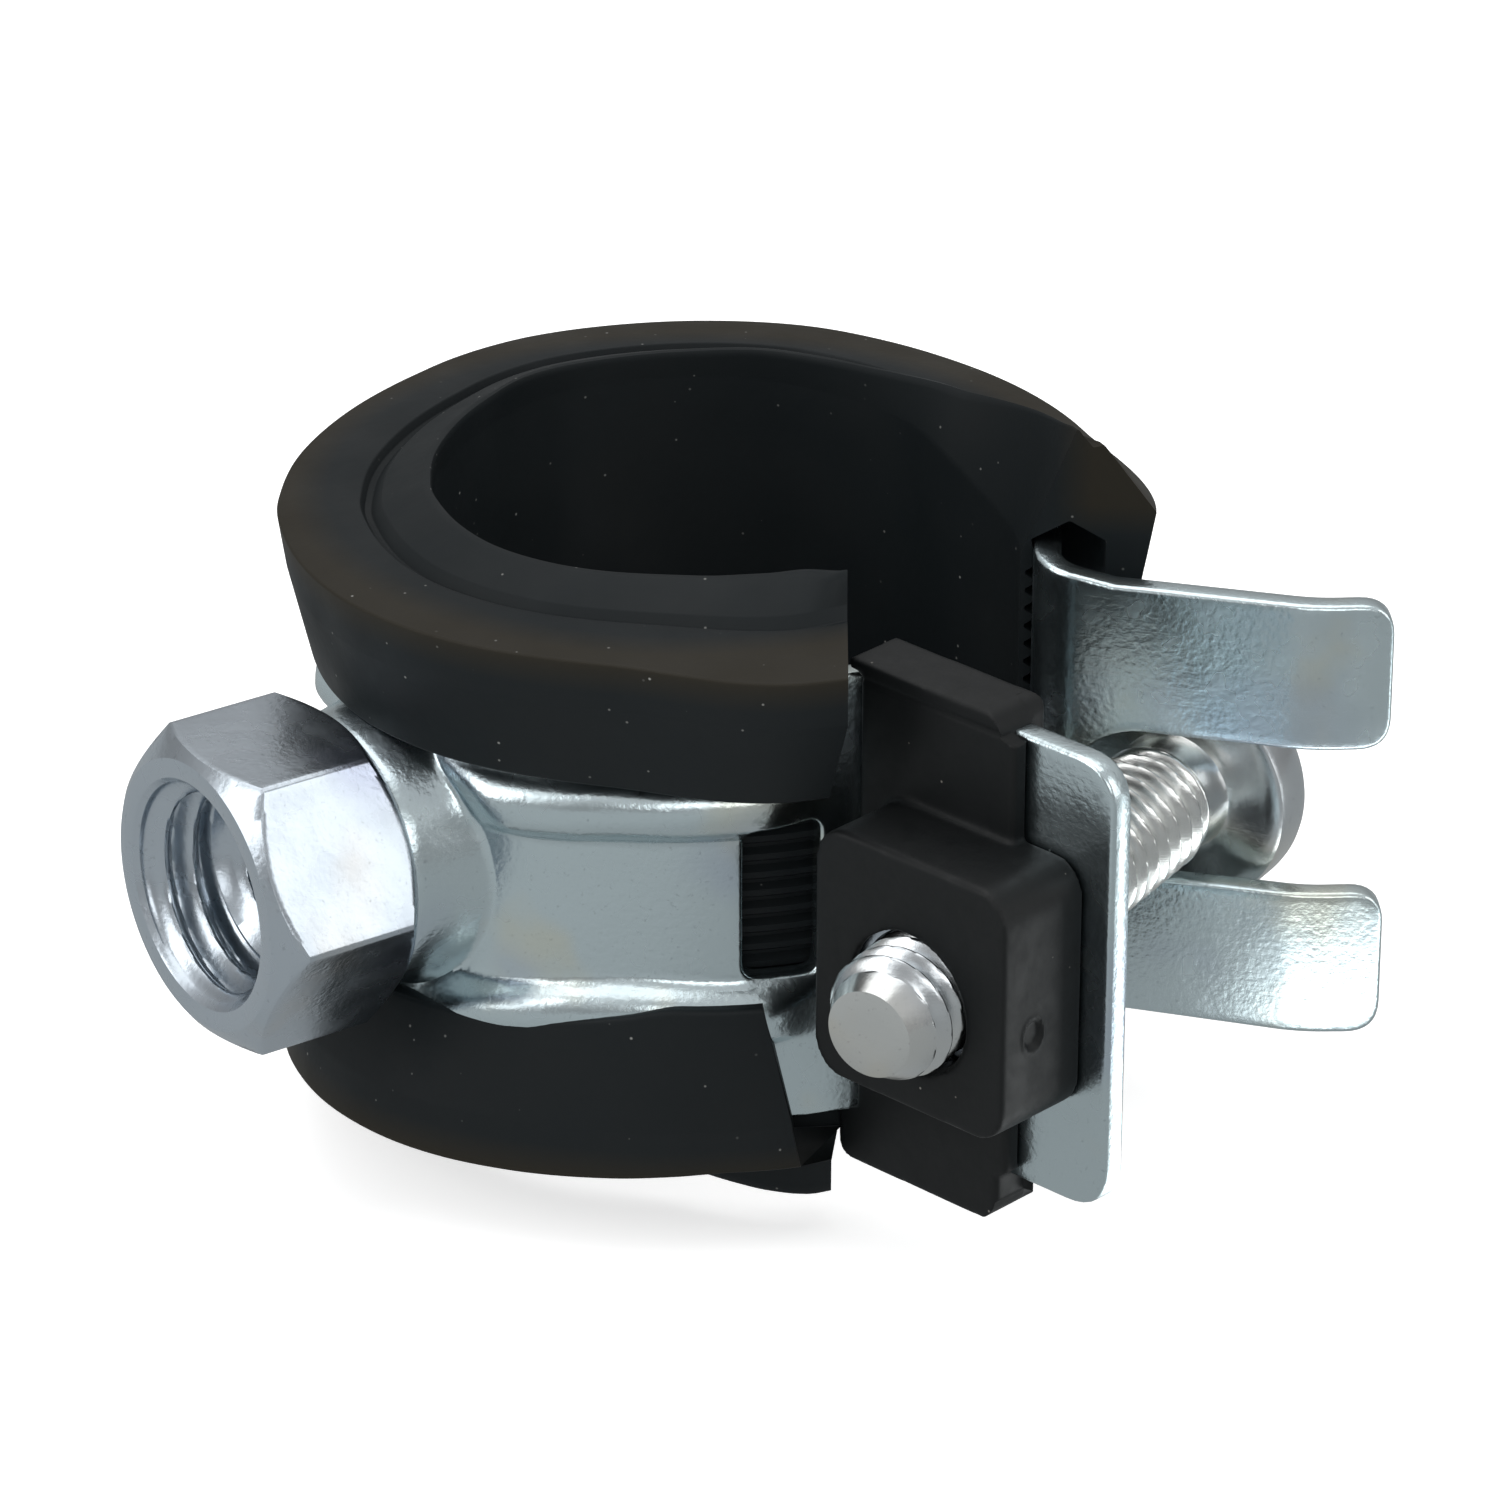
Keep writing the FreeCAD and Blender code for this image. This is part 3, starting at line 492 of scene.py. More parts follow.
def inside(points, loop):
    # even-odd test of many points at once
    x = points[:, 0]
    y = points[:, 1]
    result = numpy.zeros(len(points), dtype=bool)
    count = len(loop)
    for i in range(count):
        ax, ay = loop[i]
        bx, by = loop[(i + 1) % count]
        if ay == by:
            continue
        crosses = ((ay > y) != (by > y)) & (x < (bx - ax) * (y - ay) / (by - ay) + ax)
        result ^= crosses
    return result


def strip_outlines():
    # the flat strip's edge, the hole of its near ear and the window, with the metal on the left of each
    low = -FORK_DROP - FORK_HALF
    high = -FORK_DROP + FORK_HALF
    slot_low = -FORK_DROP - SLOT_HALF
    slot_high = -FORK_DROP + SLOT_HALF
    slot_centre = FORK_START + SLOT_START
    corners = [
        (0, NEAR_BOTTOM, NEAR_CORNER),
        (LIMITS[1], NEAR_BOTTOM, 0),
        (RING_START + 0.8, -HALF_WIDTH, 0),
        (RING_STOP - 0.5, -HALF_WIDTH, 0),
        (TIP, low, PRONG_CORNER),
        (TIP, slot_low, PRONG_CORNER),
        (slot_centre, slot_low, 0),
    ]
    for k in range(1, SLOT_POINTS):
        a = math.radians(-90 - 180 * k / SLOT_POINTS)
        corners.append((slot_centre + SLOT_HALF * math.cos(a), -FORK_DROP + SLOT_HALF * math.sin(a), 0))
    corners += [
        (slot_centre, slot_high, 0),
        (TIP, slot_high, PRONG_CORNER),
        (TIP, high, PRONG_CORNER),
        (FORK_START + 1.5, high, 0),
        (RING_STOP + 0.3, high + 0.55, 0),
        (RING_STOP - 1.5, HALF_WIDTH, 0),
        (RING_START + 0.8, HALF_WIDTH, 0),
        (LIMITS[1], NEAR_TOP, 0),
        (0, NEAR_TOP, NEAR_CORNER),
    ]
    outer = resampled(rounded(corners, 8), OUTLINE_PITCH)
    hole = []
    for k in range(HOLE_POINTS):
        a = -2 * math.pi * k / HOLE_POINTS
        hole.append((NEAR_LENGTH - SCREW_STATION + NEAR_HOLE * math.cos(a), NEAR_HOLE * math.sin(a)))
    middle = RING_START + RING * math.radians(NEAR_END - WINDOW_ANGLE)
    left = middle - WINDOW_HALF
    right = middle + WINDOW_HALF
    places = ((left, WINDOW_TOP), (right, WINDOW_TOP), (right, WINDOW_BOTTOM), (left, WINDOW_BOTTOM))
    window = resampled(rounded([(u, z, WINDOW_CORNER) for u, z in places], 5), WINDOW_PITCH)
    return [outer, hole, window]


def build_strip():
    # both faces of the sheet are laid from one net of triangles, and rounded rims join them
    loops = strip_outlines()
    places = []
    for (length, turn), start in zip(STRETCHES, LIMITS):
        pitch = BEND_PITCH if abs(length) < TIGHT_BEND and turn else WIDE_PITCH
        steps = max(1, round(length / pitch))
        places += [start + length * s / steps for s in range(steps)]
    rows = [LOWEST_ROW + ROW_PITCH * k for k in range(ROW_COUNT)]
    middle = RING_START + RING * math.radians(NEAR_END - NUT_ANGLE)
    spots = [(u, z) for u in places for z in rows
             if not BOSS_TOP - 0.5 < math.hypot(RING * math.sin((u - middle) / RING), z) < BOSS_FOOT + 0.4
             or abs(u - middle) > BOSS_REGION]
    # rings of closer points where the boss rises
    for k in range(BOSS_RINGS):
        reach = lerp(BOSS_TOP - 0.3, BOSS_FOOT + 0.2, k / (BOSS_RINGS - 1))
        for n in range(BOSS_POINTS):
            a = 2 * math.pi * n / BOSS_POINTS
            spots.append((middle + RING * math.asin(reach * math.cos(a) / RING), reach * math.sin(a)))
    spots = numpy.array(spots)
    keep = inside(spots, inset(loops[0], RIM_MARGIN))
    for loop in loops[1:]:
        keep &= ~inside(spots, inset(loop, RIM_MARGIN))
    spots = [tuple(p) for p in spots[keep]]
    # the flat sheet between its outlines, as triangles
    flat = []
    fences = []
    for loop in loops:
        edge = inset(loop, EDGE_ROUND)
        base = len(flat)
        flat += edge
        fences += [(base + i, base + (i + 1) % len(edge)) for i in range(len(edge))]
    flat += spots
    result = delaunay_2d_cdt([Vector(p) for p in flat], fences, [], 2, 1e-5)
    sheet, origins = result[0], result[3]
    # no triangle stays in an opening
    middles = numpy.array([[sum(sheet[i][k] for i in t) / 3 for k in (0, 1)] for t in result[2]])
    open_here = numpy.zeros(len(middles), dtype=bool)
    for loop in loops[1:]:
        open_here |= inside(middles, inset(loop, EDGE_ROUND))
    triangles = [t for t, gone in zip(result[2], open_here) if not gone]
    where = {}
    for index, sources in enumerate(origins):
        for source in sources:
            where[source] = index
    points = [lay(p.x, p.y, 0.0) for p in sheet] + [lay(p.x, p.y, STRIP) for p in sheet]
    behind = len(sheet)
    faces = [tuple(t) for t in triangles] + [tuple(i + behind for i in reversed(t)) for t in triangles]
    # rounded rims between the two faces
    turns = 3
    profile = []
    for k in range(1, turns + 1):
        a = math.radians(90 * k / turns)
        profile.append((EDGE_ROUND * (1 - math.sin(a)), EDGE_ROUND * (1 - math.cos(a))))
    profile += [(off, STRIP - depth) for off, depth in reversed(profile)]
    base = 0
    for loop in loops:
        count = len(loop)
        rings = [[where[base + i] for i in range(count)]]
        for off, depth in profile:
            start = len(points)
            points += [lay(u, z, depth) for u, z in inset(loop, off)]
            rings.append([start + i for i in range(count)])
        rings.append([where[base + i] + behind for i in range(count)])
        for one, two in zip(rings, rings[1:]):
            for i in range(count):
                j = (i + 1) % count
                faces.append((one[i], two[i], two[j], one[j]))
        base += count
    return make_mesh("zinc_strip_band", points, faces, 60)


link("zinc_strip_band", build_strip(), STRIP_ZINC, "clamp", ["band"])


# Rubber liner: a section swept round the strip, pushed outwards and upwards near both ends
FAR_CUT = -4.4
NEAR_CUT = 360 - 63.6
NEAR_PLANE_X = 6.7
NEAR_LOWER_LIP_X = 6.25
FLANGE_EDGE = 6.05
SHOULDER_R = 18.8
BORE_SLOPE_Z = 12.3
LINER_STEPS = 220
# the angle at which the tables of the far end give way to those of the near one
HALF_WAY = 150
RIB_PITCH = 0.86
RIB_DEPTH = 0.32
RIB_TOP = 0.14
RIB_GAP = 0.08
GROOVE_R = 14.8
GROOVE_RISE = 2.05
RIDGE_TO_GROOVE = 0.75
# the ridge inside the groove: its radius and its height above the middle, by angle
FAR_RIDGE_R = [(-4.4, 16.9), (-1.2, 16.2), (5.5, 15.45), (12, 14.8), (23, 13.85), (32, 13.1), (43, 12.6),
               (55, 12.3), (75, 12.1)]
FAR_RIDGE_Z = [(-4.4, 16.05), (5.5, 15.75), (12, 15.5), (23, 15.1), (32, 14.85), (43, 14.5), (55, 14.25),
               (75, 14.0), (90, 13.8), (110, 13.8), (130, 14.0)]
NEAR_RIDGE_R = [(-112, 12.1), (-88, 12.2), (-80, 12.5), (-73, 13.0), (-63.1, 14.8)]
NEAR_RIDGE_Z = [(-95, 14.0), (-80, 14.25), (-73, 14.5), (-63.1, 15.0)]
LOWER_RIDGE_R = [(-112, 12.1), (-96, 12.6), (-90, 13.2), (-81, 14.1), (-75, 14.7), (-66, 15.3)]
LOWER_RIDGE_Z = [(-112, 14.0), (-100, 14.3), (-90, 14.9), (-81, 15.2), (-66, 15.5)]
# the lower flange near the ear: its edge creeps up the strip, and its outer corner draws in and up
LOWER_EDGE = [(-205, 6.05), (-150, 6.4), (-132, 6.45), (-125, 6.25), (-112, 6.0), (-104, 5.75), (-95, 5.35),
              (-85, 4.8), (-76, 4.3)]
LOWER_CORNER_R = [(-205, 0.0), (-165, 0.25), (-150, 0.45), (-127, 0.45), (-116, 0.3), (-105, 0.0), (-90, -0.4),
                  (-82, -0.6), (-73, -0.85)]
LOWER_CORNER_Z = [(-105, 0.0), (-90, 0.2), (-82, 0.35), (-73, 0.45)]
# where the lower flange ends near the ear: height below the middle, and X
LOWER_END = [(4.3, 3.2), (6.0, 3.85), (7.7, 4.15), (10.2, 4.5), (12.2, 4.9)]


def liner_corners(angle, lower):
    # one half of the section as (r, distance from the middle, corner radius), from the bore round to the strip.
    # Towards a free end push and far rise from 0 to 1: head moves the outer shoulder out, foot the flange's edge,
    # and lift takes the shoulder down
    edge = HALF_WIDTH
    inner = RING - STRIP - FIT
    outer = RING + FIT
    swell = along_table(SWELL, angle)
    flange = FLANGE_EDGE
    lift = 0.0
    far = 0.0
    if angle < HALF_WAY:
        ridge_r = along_table(FAR_RIDGE_R, angle)
        ridge_z = along_table(FAR_RIDGE_Z, angle)
        bore = BORE + 2.1 * smooth((34 - angle) / 38.4) ** 1.2
        slope_z = BORE_SLOPE_Z - 2.4 * smooth((40 - angle) / 44.4)
        push = smooth((22 - angle) / 26.4)
        far = smooth((36 - angle) / 40)
        head = (0.6 if lower else 1.65) * push
        foot = (1.2 if lower else 1.9) * push
        lift = (0.9 if lower else 0.3) * push
        if lower:
            ridge_z = lerp(ridge_z, 14.7, far)
    else:
        back = angle - 360
        push = smooth((back + 96) / 28)
        bore = BORE + 1.3 * push
        slope_z = BORE_SLOPE_Z
        ridge_r = along_table(LOWER_RIDGE_R if lower else NEAR_RIDGE_R, back)
        ridge_z = along_table(LOWER_RIDGE_Z if lower else NEAR_RIDGE_Z, back)
        head = 1.85 * push
        foot = 1.4 * push
        if lower:
            head = along_table(LOWER_CORNER_R, back)
            foot = 0.15 * push
            lift = along_table(LOWER_CORNER_Z, back)
            flange = along_table(LOWER_EDGE, back)
    groove = lerp(GROOVE_R + 0.5 * head, ridge_r + RIDGE_TO_GROOVE, far)
    groove_z = lerp(edge + GROOVE_RISE, ridge_z - RIDGE_TO_GROOVE, far)
    groove = max(groove, ridge_r + RIDGE_TO_GROOVE)
    rise = 0.25 * (ridge_z - 14.0) * (1 - far)
    return [(r + swell, z, radius) for r, z, radius in (
        (bore, 0.0, 0),
        (bore, slope_z, 1.5),
        (ridge_r, ridge_z, 0.30),
        (groove - 0.50, groove_z + 0.38 + rise, 0.25),
        (groove - 0.05, groove_z - 0.16 + rise, 0.12),
        (groove + 0.22, groove_z - 0.10 + rise, 0.08),
        (groove + 0.42, groove_z + 0.26 * (1 - far), 0.12),
        (SHOULDER_R + head, edge + 1.95 - lift, 0.14),
        (SHOULDER_R - 0.35 + head, edge - 0.35, 1.5),
        (RING + 1.15 + foot, flange, 0.25),
        (outer + foot, flange, 0.15),
        (outer + foot, edge - 0.3, 0.1),
        (outer + foot * 0.9 + 0.2, edge + 0.2, 0.1),
        (RING - STRIP / 2 + foot * 0.5, edge + 0.9 + 0.2 * push, 0.2),
        (inner - 0.1, edge + 0.15, 0.1),
        (inner, edge - 0.3, 0.1),
    )]


def liner_ribs(angle):
    # the ribs along the strip's inner face, from its edge to the middle
    inner = RING - STRIP - FIT + along_table(SWELL, angle)
    count = int((HALF_WIDTH - 0.8) / RIB_PITCH)
    out = []
    for k in range(count, 0, -1):
        crest = k * RIB_PITCH
        valley = crest - RIB_PITCH / 2
        out += [(inner, crest + RIB_TOP), (inner, crest - RIB_TOP), (inner - RIB_DEPTH, valley + RIB_GAP),
                (inner - RIB_DEPTH, valley - RIB_GAP)]
    out += [(inner, RIB_TOP)]
    return out


def near_end_x(r, z):
    # where each point of the section ends at the near ear
    if z < -4 and r > RING + 0.1:
        return from_table(LOWER_END, -z)
    if 4 < z < 9 and r > RING + 0.1:
        return NEAR_PLANE_X - 0.75 * smooth((8.2 - z) / 2.2) ** 2
    if z < -12:
        return NEAR_LOWER_LIP_X
    return NEAR_PLANE_X


def build_liner():
    rings = []
    for i in range(LINER_STEPS + 1):
        u = i / LINER_STEPS
        angle = lerp(FAR_CUT, NEAR_CUT, u)
        ribs = liner_ribs(angle)
        upper = rounded(liner_corners(angle, False), 4) + ribs
        lower = rounded(liner_corners(angle, True), 4) + ribs
        ring = []
        for r, z in upper + [(r, -z) for r, z in reversed(lower)]:
            last = 360 - math.degrees(math.acos(min(1.0, near_end_x(r, z) / r)))
            a = math.radians(lerp(FAR_CUT, last, u))
            ring.append((r * math.cos(a), r * math.sin(a), z))
        rings.append(ring)
    points, faces = grid(rings, caps=True)
    return make_mesh("rubber_liner_moulding", points, faces, 32)


link("rubber_liner_moulding", build_liner(), RUBBER, "clamp", ["rubber_liner"])


# Threads: a polar grid whose radius follows a helix
WIDE_PITCH_OF_THREAD = 1.5
NARROW_PITCH_OF_THREAD = 1.25
SCREW_PITCH_OF_THREAD = 1.0
SCREW_THREAD_DEPTH = 0.61
SCREW_TIP_R = 1.85
SCREW_TIP_SLOPE = 0.62
SCREW_SHANK = SCREW - 0.25
NECK = 1.3
RECESS_HALF = 2.5
RECESS_ARM = 0.55
WIDE_STEPS = 46
NARROW_STEPS = 58
SCREW_STEPS = 420
SCREW_COLUMNS = 96


def thread_radius(crest, root, pitch, along, turns, flat=0.18):
    # a 60 degree thread with flats
    phase = (along / pitch - turns) % 1.0
    lift = 1 - abs(phase * 2 - 1)
    lift = min(1.0, max(0.0, (lift - flat / 2) / (1 - flat)))
    return lerp(root, crest, smooth(lift) * 0.3 + 0.7 * lift)


def build_nut():
    turn = Matrix.Rotation(math.radians(NUT_ANGLE), 3, "Z") @ Matrix.Rotation(math.radians(90), 3, "Y")
    twist = Matrix.Rotation(math.radians(NUT_TWIST), 3, "Z")
    half = NUT_FLATS / 2
    # columns of one facet in degrees, close together at the corners
    facet = [-30, -29.6, -29.2, -28.7] + [-27 + 54 * k / 26 for k in range(27)] + [28.7, 29.2, 29.6]
    slope = NUT_CHAMFER / (half / math.cos(math.radians(30)) - NUT_FACE)
    wide_bottom = NUT_LENGTH - WIDE_DEPTH
    rings = []
    for side, offset in [(k, offset) for k in range(6) for offset in facet]:
        turns = (60 * side + offset) / 360
        rim = half / math.cos(math.radians(offset))
        rim -= 0.07 * max(0.0, 1 - (30 - abs(offset)) / 1.1) ** 1.5
        low = max(0.0, (rim - NUT_FACE)) * slope
        profile = [(NARROW_CORE + 0.35, 0.0), (NUT_FACE - 0.3, 0.0), (NUT_FACE, 0.02)]
        profile += [(lerp(NUT_FACE, rim, t), low * t) for t in (0.5, 0.93)]
        profile += [(rim, low + 0.08), (rim, low + 0.24), (rim, NUT_LENGTH / 2),
                    (rim, NUT_LENGTH - low - 0.24), (rim, NUT_LENGTH - low - 0.08)]
        profile += [(lerp(NUT_FACE, rim, t), NUT_LENGTH - low * t) for t in (0.93, 0.5)]
        profile += [(NUT_FACE, NUT_LENGTH - 0.02), (NUT_FACE - 0.2, NUT_LENGTH), (MOUTH + 0.62, NUT_LENGTH),
                    (MOUTH + 0.42, NUT_LENGTH - 0.05)]
        for k in range(WIDE_STEPS):
            z = NUT_LENGTH - 0.30 - (WIDE_DEPTH - 0.30) * k / (WIDE_STEPS - 1)
            crest = min(WIDE_OUTER + 0.2, WIDE_CORE + max(0.0, (z - NUT_LENGTH + 1.1)) * 0.9)
            fade = smooth((z - wide_bottom) / 0.5)
            r = thread_radius(crest, WIDE_OUTER, WIDE_PITCH_OF_THREAD, z, turns)
            profile.append((lerp(WIDE_CORE, r, fade), z))
        for k in range(NARROW_STEPS):
            z = (wide_bottom - 0.55) * (1 - k / (NARROW_STEPS - 1))
            profile.append((thread_radius(NARROW_CORE, NARROW_OUTER, NARROW_PITCH_OF_THREAD, z, turns), z))
        ring = []
        for r, z in profile:
            local = twist @ Vector((r * math.cos(2 * math.pi * turns), r * math.sin(2 * math.pi * turns), z))
            ring.append(OUTWARD * NUT_SEAT + turn @ local)
        rings.append(ring)
    points, faces = grid(rings, closed_rings=True)
    return make_mesh("hexagon_nut", points, faces, 28)


link("hexagon_nut", build_nut(), NUT_ZINC, "clamp", ["connection_nut"])


def screw_turn():
    # turns the Z axis to the screw's own
    side = Vector((0, 0, 1)).cross(SCREW_ALONG).normalized()
    return Matrix((side, SCREW_ALONG.cross(side), SCREW_ALONG)).transposed()


def build_screw():
    turn = screw_turn()
    thread_end = SCREW_LENGTH - NECK
    crown = SCREW_LENGTH + HEAD_HEIGHT
    rings = []
    for c in range(SCREW_COLUMNS):
        turns = c / SCREW_COLUMNS
        profile = [(0.001, 0.0), (1.0, 0.0), (SCREW_TIP_R, 0.0), (SCREW_TIP_R + 0.13, 0.03)]
        for k in range(SCREW_STEPS):
            z = 0.08 + (thread_end - 0.08) * k / (SCREW_STEPS - 1)
            crest = min(SCREW, SCREW_TIP_R + z * SCREW_TIP_SLOPE)
            r = thread_radius(SCREW, SCREW - SCREW_THREAD_DEPTH, SCREW_PITCH_OF_THREAD, z, turns, 0.16)
            r = lerp(SCREW_SHANK, r, smooth((thread_end - z) / 0.9))
            profile.append((min(r, crest), z))
        profile += [(SCREW_SHANK, SCREW_LENGTH - 0.35), (SCREW - 0.1, SCREW_LENGTH - 0.08),
                    (SCREW + 0.2, SCREW_LENGTH), (HEAD - 0.9, SCREW_LENGTH), (HEAD - 0.25, SCREW_LENGTH + 0.02),
                    (HEAD - 0.07, SCREW_LENGTH + 0.12), (HEAD, SCREW_LENGTH + 0.35), (HEAD, crown - HEAD_ROUND)]
        for k in range(1, 9):
            a = math.radians(90 * k / 8)
            profile.append((HEAD - HEAD_ROUND * (1 - math.cos(a)) * 1.1, crown - HEAD_ROUND * (1 - math.sin(a))))
        profile += [(2.0, crown), (0.001, crown)]
        a = 2 * math.pi * turns
        rings.append([SCREW_TIP + turn @ Vector((r * math.cos(a), r * math.sin(a), z)) for r, z in profile])
    points, faces = grid(rings, closed_rings=True, closed_lines=False)
    return make_mesh("closing_screw_threaded", points, faces, 32, 0.003)


screw = link("closing_screw_threaded", build_screw(), SCREW_ZINC, "screw", ["closing_screw"])


def cut_recess(piece):
    # the cross recess in the head, cut with a tapered cross: its depth, and its share of the full width there
    turn = screw_turn()
    crown = SCREW_LENGTH + HEAD_HEIGHT
    rings = []
    for depth, share in ((-0.6, 1.12), (0.0, 1.0), (1.2, 0.62), (1.8, 0.2)):
        long = RECESS_HALF * share
        short = RECESS_ARM * (0.6 + 0.4 * share)
        corners = []
        for k in range(4):
            quarter = Matrix.Rotation(math.radians(90 * k), 2)
            corners += [quarter @ Vector(p) for p in ((long, -short), (long, short), (short, short))]
        rings.append([SCREW_TIP + turn @ Vector((p.x, p.y, crown - depth)) for p in corners])
    points, faces = grid(rings, caps=True)
    cutter = new_object("recess_cutter", make_mesh("recess_cutter", points, faces))
    step = piece.modifiers.new("cut", "BOOLEAN")
    step.operation = "DIFFERENCE"
    step.object = cutter
    step.solver = "EXACT"
    keep_evaluated(piece)
    bpy.data.objects.remove(cutter)


def keep_evaluated(piece):
    # the mesh that the piece's modifiers make becomes its own mesh
    shape = piece.evaluated_get(bpy.context.evaluated_depsgraph_get())
    mesh = bpy.data.meshes.new_from_object(shape)
    piece.modifiers.clear()
    piece.data = mesh


def add_weld(piece):
    weld = piece.modifiers.new("weld", "WELD")
    weld.merge_threshold = 0.002 * MM


cut_recess(screw)


# Square nut: keeps its solid, with smooth faces
square_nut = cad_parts["square_nut"]
square_nut.data.materials.clear()
square_nut.data.materials.append(NUT_ZINC)
add_weld(square_nut)


# Plastic holder: its solid with every edge softened, then the marks of its mould
NEAR_X = direction(NEAR_EAR)
NEAR_Y = direction(NEAR_EAR + 90)
BOX_RIGHT = 11.2
GATE_DEPTH = -3.1
GATE_LEVEL = -1.5
SLEEVE_LEFT = -0.75
SLEEVE_RIGHT = 6.1
BACK_RIGHT = 5.9
BACK_SHORT = 0.9
EAR_BACK = 0.9
FOOT_BACK = 1.05
FOOT_TOP = -10.2
FOOT_BOTTOM = -11.85
FOOT_CORNER = 1.15
CAP_LEVEL = 10.1
CAP_CORNER = 1.0
CREASE_LEVEL = 10.3


def build_holder():
    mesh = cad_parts["nut_holder"].data.copy()
    mesh.name = "plastic_nut_holder"
    piece = link("plastic_nut_holder", mesh, PLASTIC, "clamp", ["nut_holder"])
    add_weld(piece)
    skin = piece.modifiers.new("skin", "REMESH")
    skin.mode = "VOXEL"
    skin.voxel_size = 0.14 * MM
    skin.use_smooth_shade = True
    soften = piece.modifiers.new("soften", "SMOOTH")
    soften.factor = 0.6
    soften.iterations = 8
    keep_evaluated(piece)
    for vertex in piece.data.vertices:
        spot = vertex.co / MM - NEAR_FACE_ORIGIN
        along = spot.dot(NEAR_X)
        ahead = spot.dot(NEAR_Y)
        level = spot.z
        # the back wall stops short, and the foot sits a little further back than the sleeve
        along -= BACK_SHORT * smooth((along - BACK_RIGHT) / 1.2) * smooth((ahead - EAR_BACK) / 0.4)
        if ahead < EAR_BACK:
            below = smooth((FOOT_TOP - level) / 0.5)
            along -= below * lerp(FOOT_BACK, 0.5, smooth((along + 0.9) / 8.8))
        # rounded corners of the foot and of the cap's right end
        for side, middle in ((1, SLEEVE_RIGHT), (-1, SLEEVE_LEFT)):
            away = max(0.0, side * (along - middle))
            for end, limit, radius in ((-1, FOOT_BOTTOM, FOOT_CORNER), (1, CAP_LEVEL, CAP_CORNER)):
                over = max(0.0, end * (level - limit))
                if end > 0 and side < 0:
                    continue
                reach = math.hypot(away, over)
                if away > 0 and over > 0 and reach > radius and level * end > 9.5:
                    along = middle + side * away * radius / reach
                    level = limit + end * over * radius / reach
        # stub of the sprue on the box's right face
        if along > BOX_RIGHT - 0.4:
            away = math.hypot((ahead - GATE_DEPTH) / 0.62, (level - GATE_LEVEL) / 0.75)
            if away < 1.3:
                rim = math.exp(-((away - 1.0) / 0.16) ** 2) * 0.07
                along += rim - 0.16 * smooth((1.0 - away) / 0.25)
        # crease under the cap
        if ahead < -0.6 and along < 8.5 and level > 9.5:
            ahead += math.exp(-((level - CREASE_LEVEL) / 0.11) ** 2) * 0.08
        place = NEAR_FACE_ORIGIN + NEAR_X * along + NEAR_Y * ahead
        vertex.co = Vector((place.x, place.y, level)) * MM
    return piece


build_holder()


# Floor, lights and camera
def area_light(name, place, size, power):
    data = bpy.data.lights.new(name, "AREA")
    data.shape = "RECTANGLE"
    data.size = size[0]
    data.size_y = size[1]
    data.energy = power
    lamp = new_object(name, data)
    lamp.location = place
    lamp.rotation_euler = (-Vector(place)).to_track_quat("-Z", "Y").to_euler()


FLOOR_HALF = 3.0
FLOOR_LIFT = 0.60
CARD_LEFT = 0.0180
CARD_FULL = 0.0240
CARD_Y = -0.0195
CARD_HALF = 0.0035
CARD_END = 0.0065
CARD_STRENGTH = 3.4


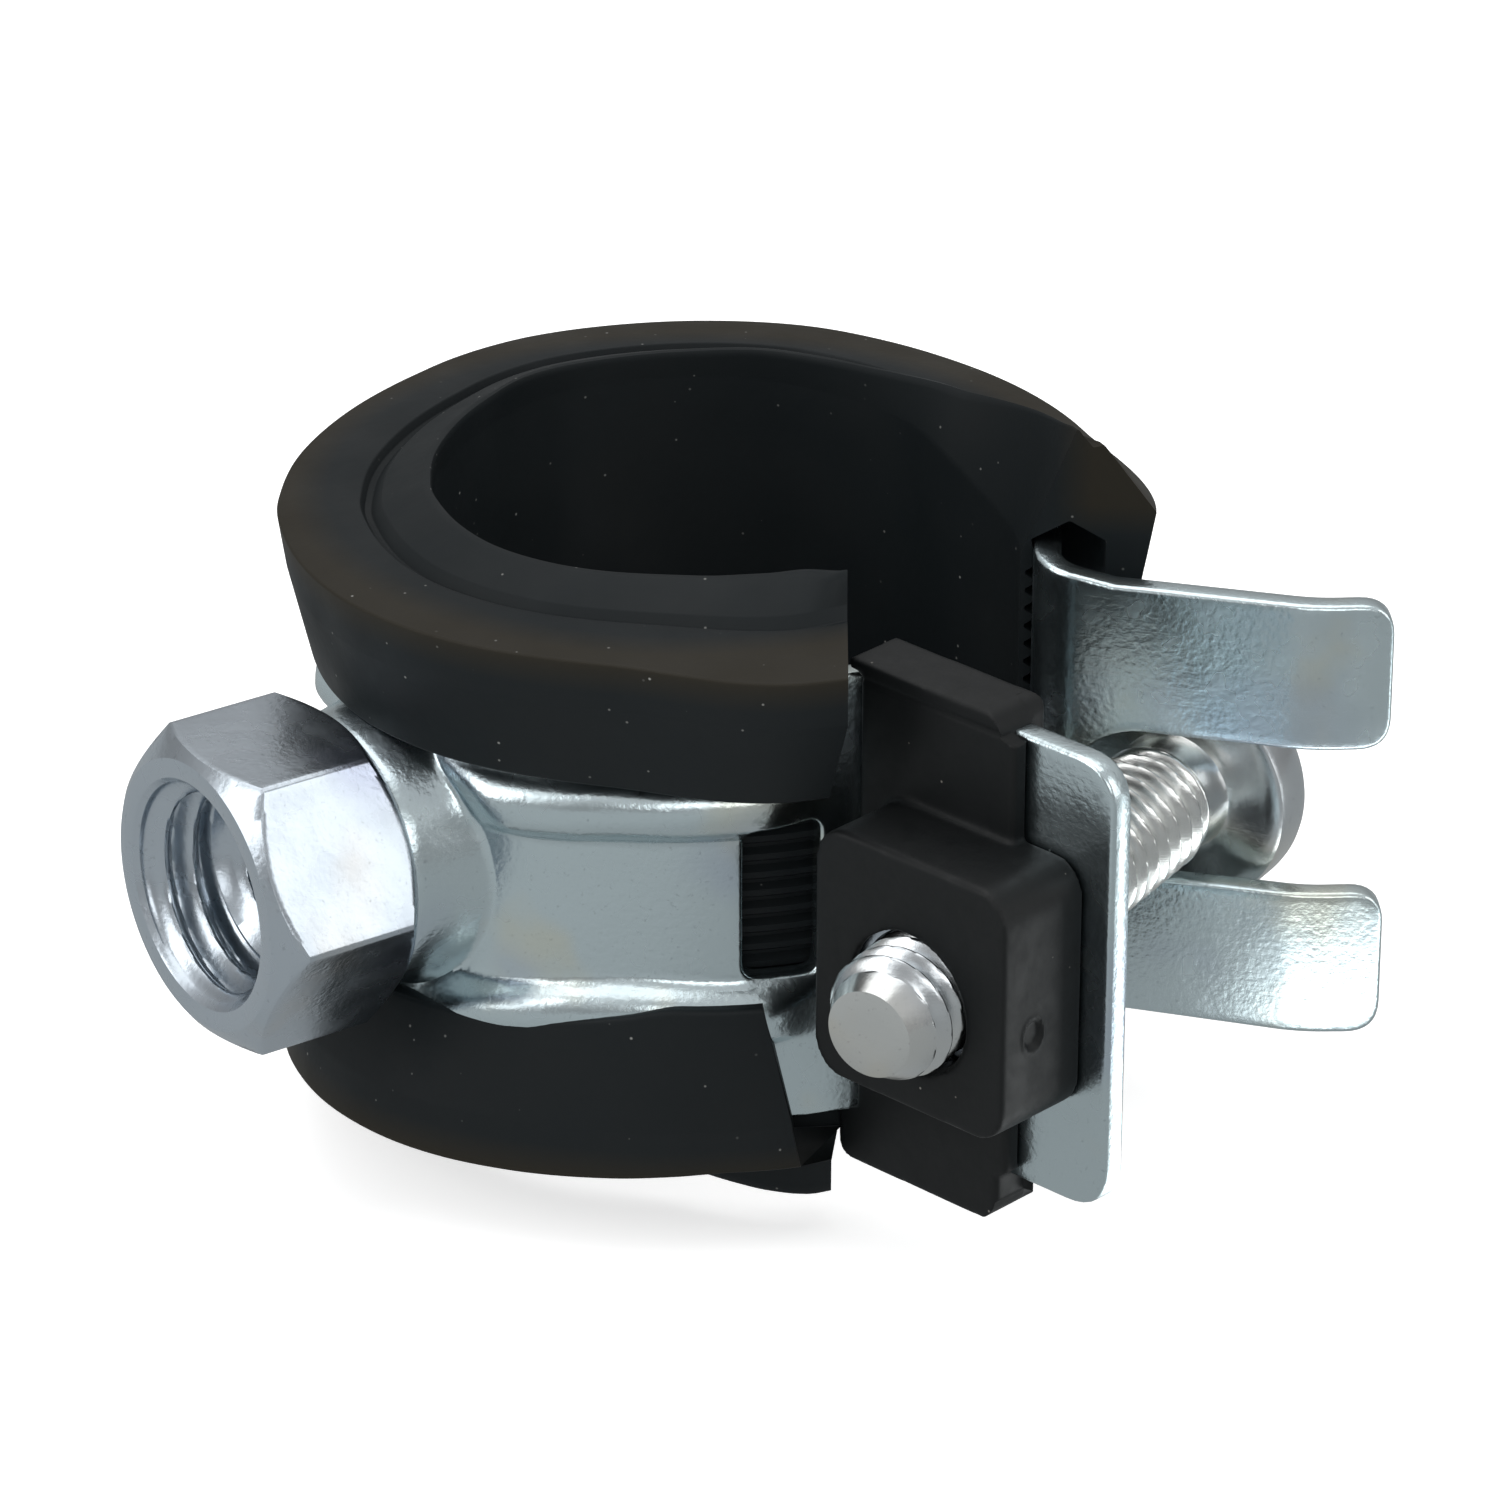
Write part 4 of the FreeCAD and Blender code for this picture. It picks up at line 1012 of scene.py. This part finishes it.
def build_stage():
    # a pale floor: white to the camera with a soft shadow, and in the metal's gloss an even grey, a little
    # brighter to the left
    size = FLOOR_HALF
    level = cad_low[2] - 0.05 * MM
    mesh = bpy.data.meshes.new("floor")
    mesh.from_pydata([(-size, -size, level), (size, -size, level), (size, size, level), (-size, size, level)],
                     [], [(0, 1, 2, 3)])
    material, tree, surface = new_material("pale_floor")
    feed(tree, surface, {"Base Color": (0.93, 0.93, 0.93, 1), "Roughness": 0.9, "Specular IOR Level": 0.0})
    camera_ray = add(tree, "ShaderNodeLightPath", out="Is Camera Ray")
    glossy_ray = add(tree, "ShaderNodeLightPath", out="Is Glossy Ray")
    lift = add(tree, "ShaderNodeMath", {0: camera_ray, 1: FLOOR_LIFT}, operation="MULTIPLY")
    glow = add(tree, "ShaderNodeEmission", {"Strength": lift})
    seen = add(tree, "ShaderNodeAddShader", {0: surface.outputs["BSDF"], 1: glow})
    place = add(tree, "ShaderNodeTexCoord", out="Object")
    slant = add(tree, "ShaderNodeVectorMath", {0: place, 1: (1.0, 0.5, 0.0)}, "Value", operation="DOT_PRODUCT")
    table = add(tree, "ShaderNodeMapRange", {"Value": slant, "From Min": -0.045, "From Max": -0.015,
                                            "To Min": 0.54, "To Max": 0.44}, interpolation_type="SMOOTHSTEP")
    # a bright card on it, in front and to the right, that the nut's right facet shows
    across = add(tree, "ShaderNodeSeparateXYZ", {"Vector": place}, "X")
    ahead = add(tree, "ShaderNodeSeparateXYZ", {"Vector": place}, "Y")
    ahead = add(tree, "ShaderNodeMath", {0: add(tree, "ShaderNodeMath", {0: ahead, 1: -CARD_Y}, operation="ADD")},
                operation="ABSOLUTE")
    reach = add(tree, "ShaderNodeMapRange", {"Value": across, "From Min": CARD_LEFT, "From Max": CARD_FULL},
                interpolation_type="SMOOTHSTEP")
    width = add(tree, "ShaderNodeMapRange", {"Value": ahead, "From Min": CARD_HALF, "From Max": CARD_END,
                                            "To Min": CARD_STRENGTH, "To Max": 0.0},
                interpolation_type="SMOOTHSTEP")
    card = add(tree, "ShaderNodeMath", {0: reach, 1: width}, operation="MULTIPLY")
    table = add(tree, "ShaderNodeMath", {0: table, 1: card}, operation="ADD")
    mirrored = add(tree, "ShaderNodeEmission", {"Color": rgb("#f2f6f7"), "Strength": table})
    both = add(tree, "ShaderNodeMixShader", {0: glossy_ray, 1: seen, 2: mirrored})
    feed(tree, tree.nodes["Material Output"], {"Surface": both})
    mesh.materials.append(material)
    floor = new_object("floor", mesh)


def build_world():
    world = bpy.data.worlds.new("studio")
    bpy.context.scene.world = world
    world.use_nodes = True
    tree = world.node_tree
    way = add(tree, "ShaderNodeTexCoord", out="Generated")
    up = add(tree, "ShaderNodeSeparateXYZ", {"Vector": way}, "Z")
    sky = add(tree, "ShaderNodeMapRange", {"Value": up, "From Min": 0.0, "From Max": 0.9,
                                          "To Min": 0.30, "To Max": 0.62}, interpolation_type="SMOOTHSTEP")
    glossy_ray = add(tree, "ShaderNodeLightPath", out="Is Glossy Ray")
    level = add(tree, "ShaderNodeMix", {0: glossy_ray, 2: 0.45, 3: sky}, data_type="FLOAT")
    feed(tree, tree.nodes["Background"], {"Color": (1, 1, 1, 1), "Strength": level})


build_stage()
build_world()
area_light("top_box", (-0.08, 0.08, 0.60), (0.80, 0.60), 1.8)
area_light("left_box", (-0.55, -0.25, 0.30), (0.35, 0.50), 1.2)
area_light("right_box", (0.55, -0.20, 0.25), (0.30, 0.50), 0.8)
area_light("front_box", (0.05, -0.70, 0.30), (0.50, 0.25), 0.8)

bpy.context.scene.view_settings.view_transform = "Standard"

CAMERA_PLACE = Vector((2.603, -317.646, 152.232))
CAMERA_FALL = 25.642
CAMERA_ROLL = 0.258
PHOTO_SIDE = 1500
FOCAL = 7883.5
SENSOR = 36.0


def build_camera():
    data = bpy.data.cameras.new("camera")
    data.sensor_width = SENSOR
    data.sensor_height = SENSOR
    data.lens = SENSOR * FOCAL / PHOTO_SIDE
    data.clip_start = 0.01
    camera = new_object("camera", data)
    fall = math.radians(CAMERA_FALL)
    roll = math.radians(CAMERA_ROLL)
    ahead = Vector((0, math.cos(fall), -math.sin(fall)))
    level = Vector((1, 0, 0))
    right = level * math.cos(roll) + level.cross(ahead) * math.sin(roll)
    turn = Matrix((right, right.cross(ahead), -ahead)).transposed().to_4x4()
    camera.matrix_world = Matrix.Translation(CAMERA_PLACE * MM) @ turn
    bpy.context.scene.camera = camera


build_camera()
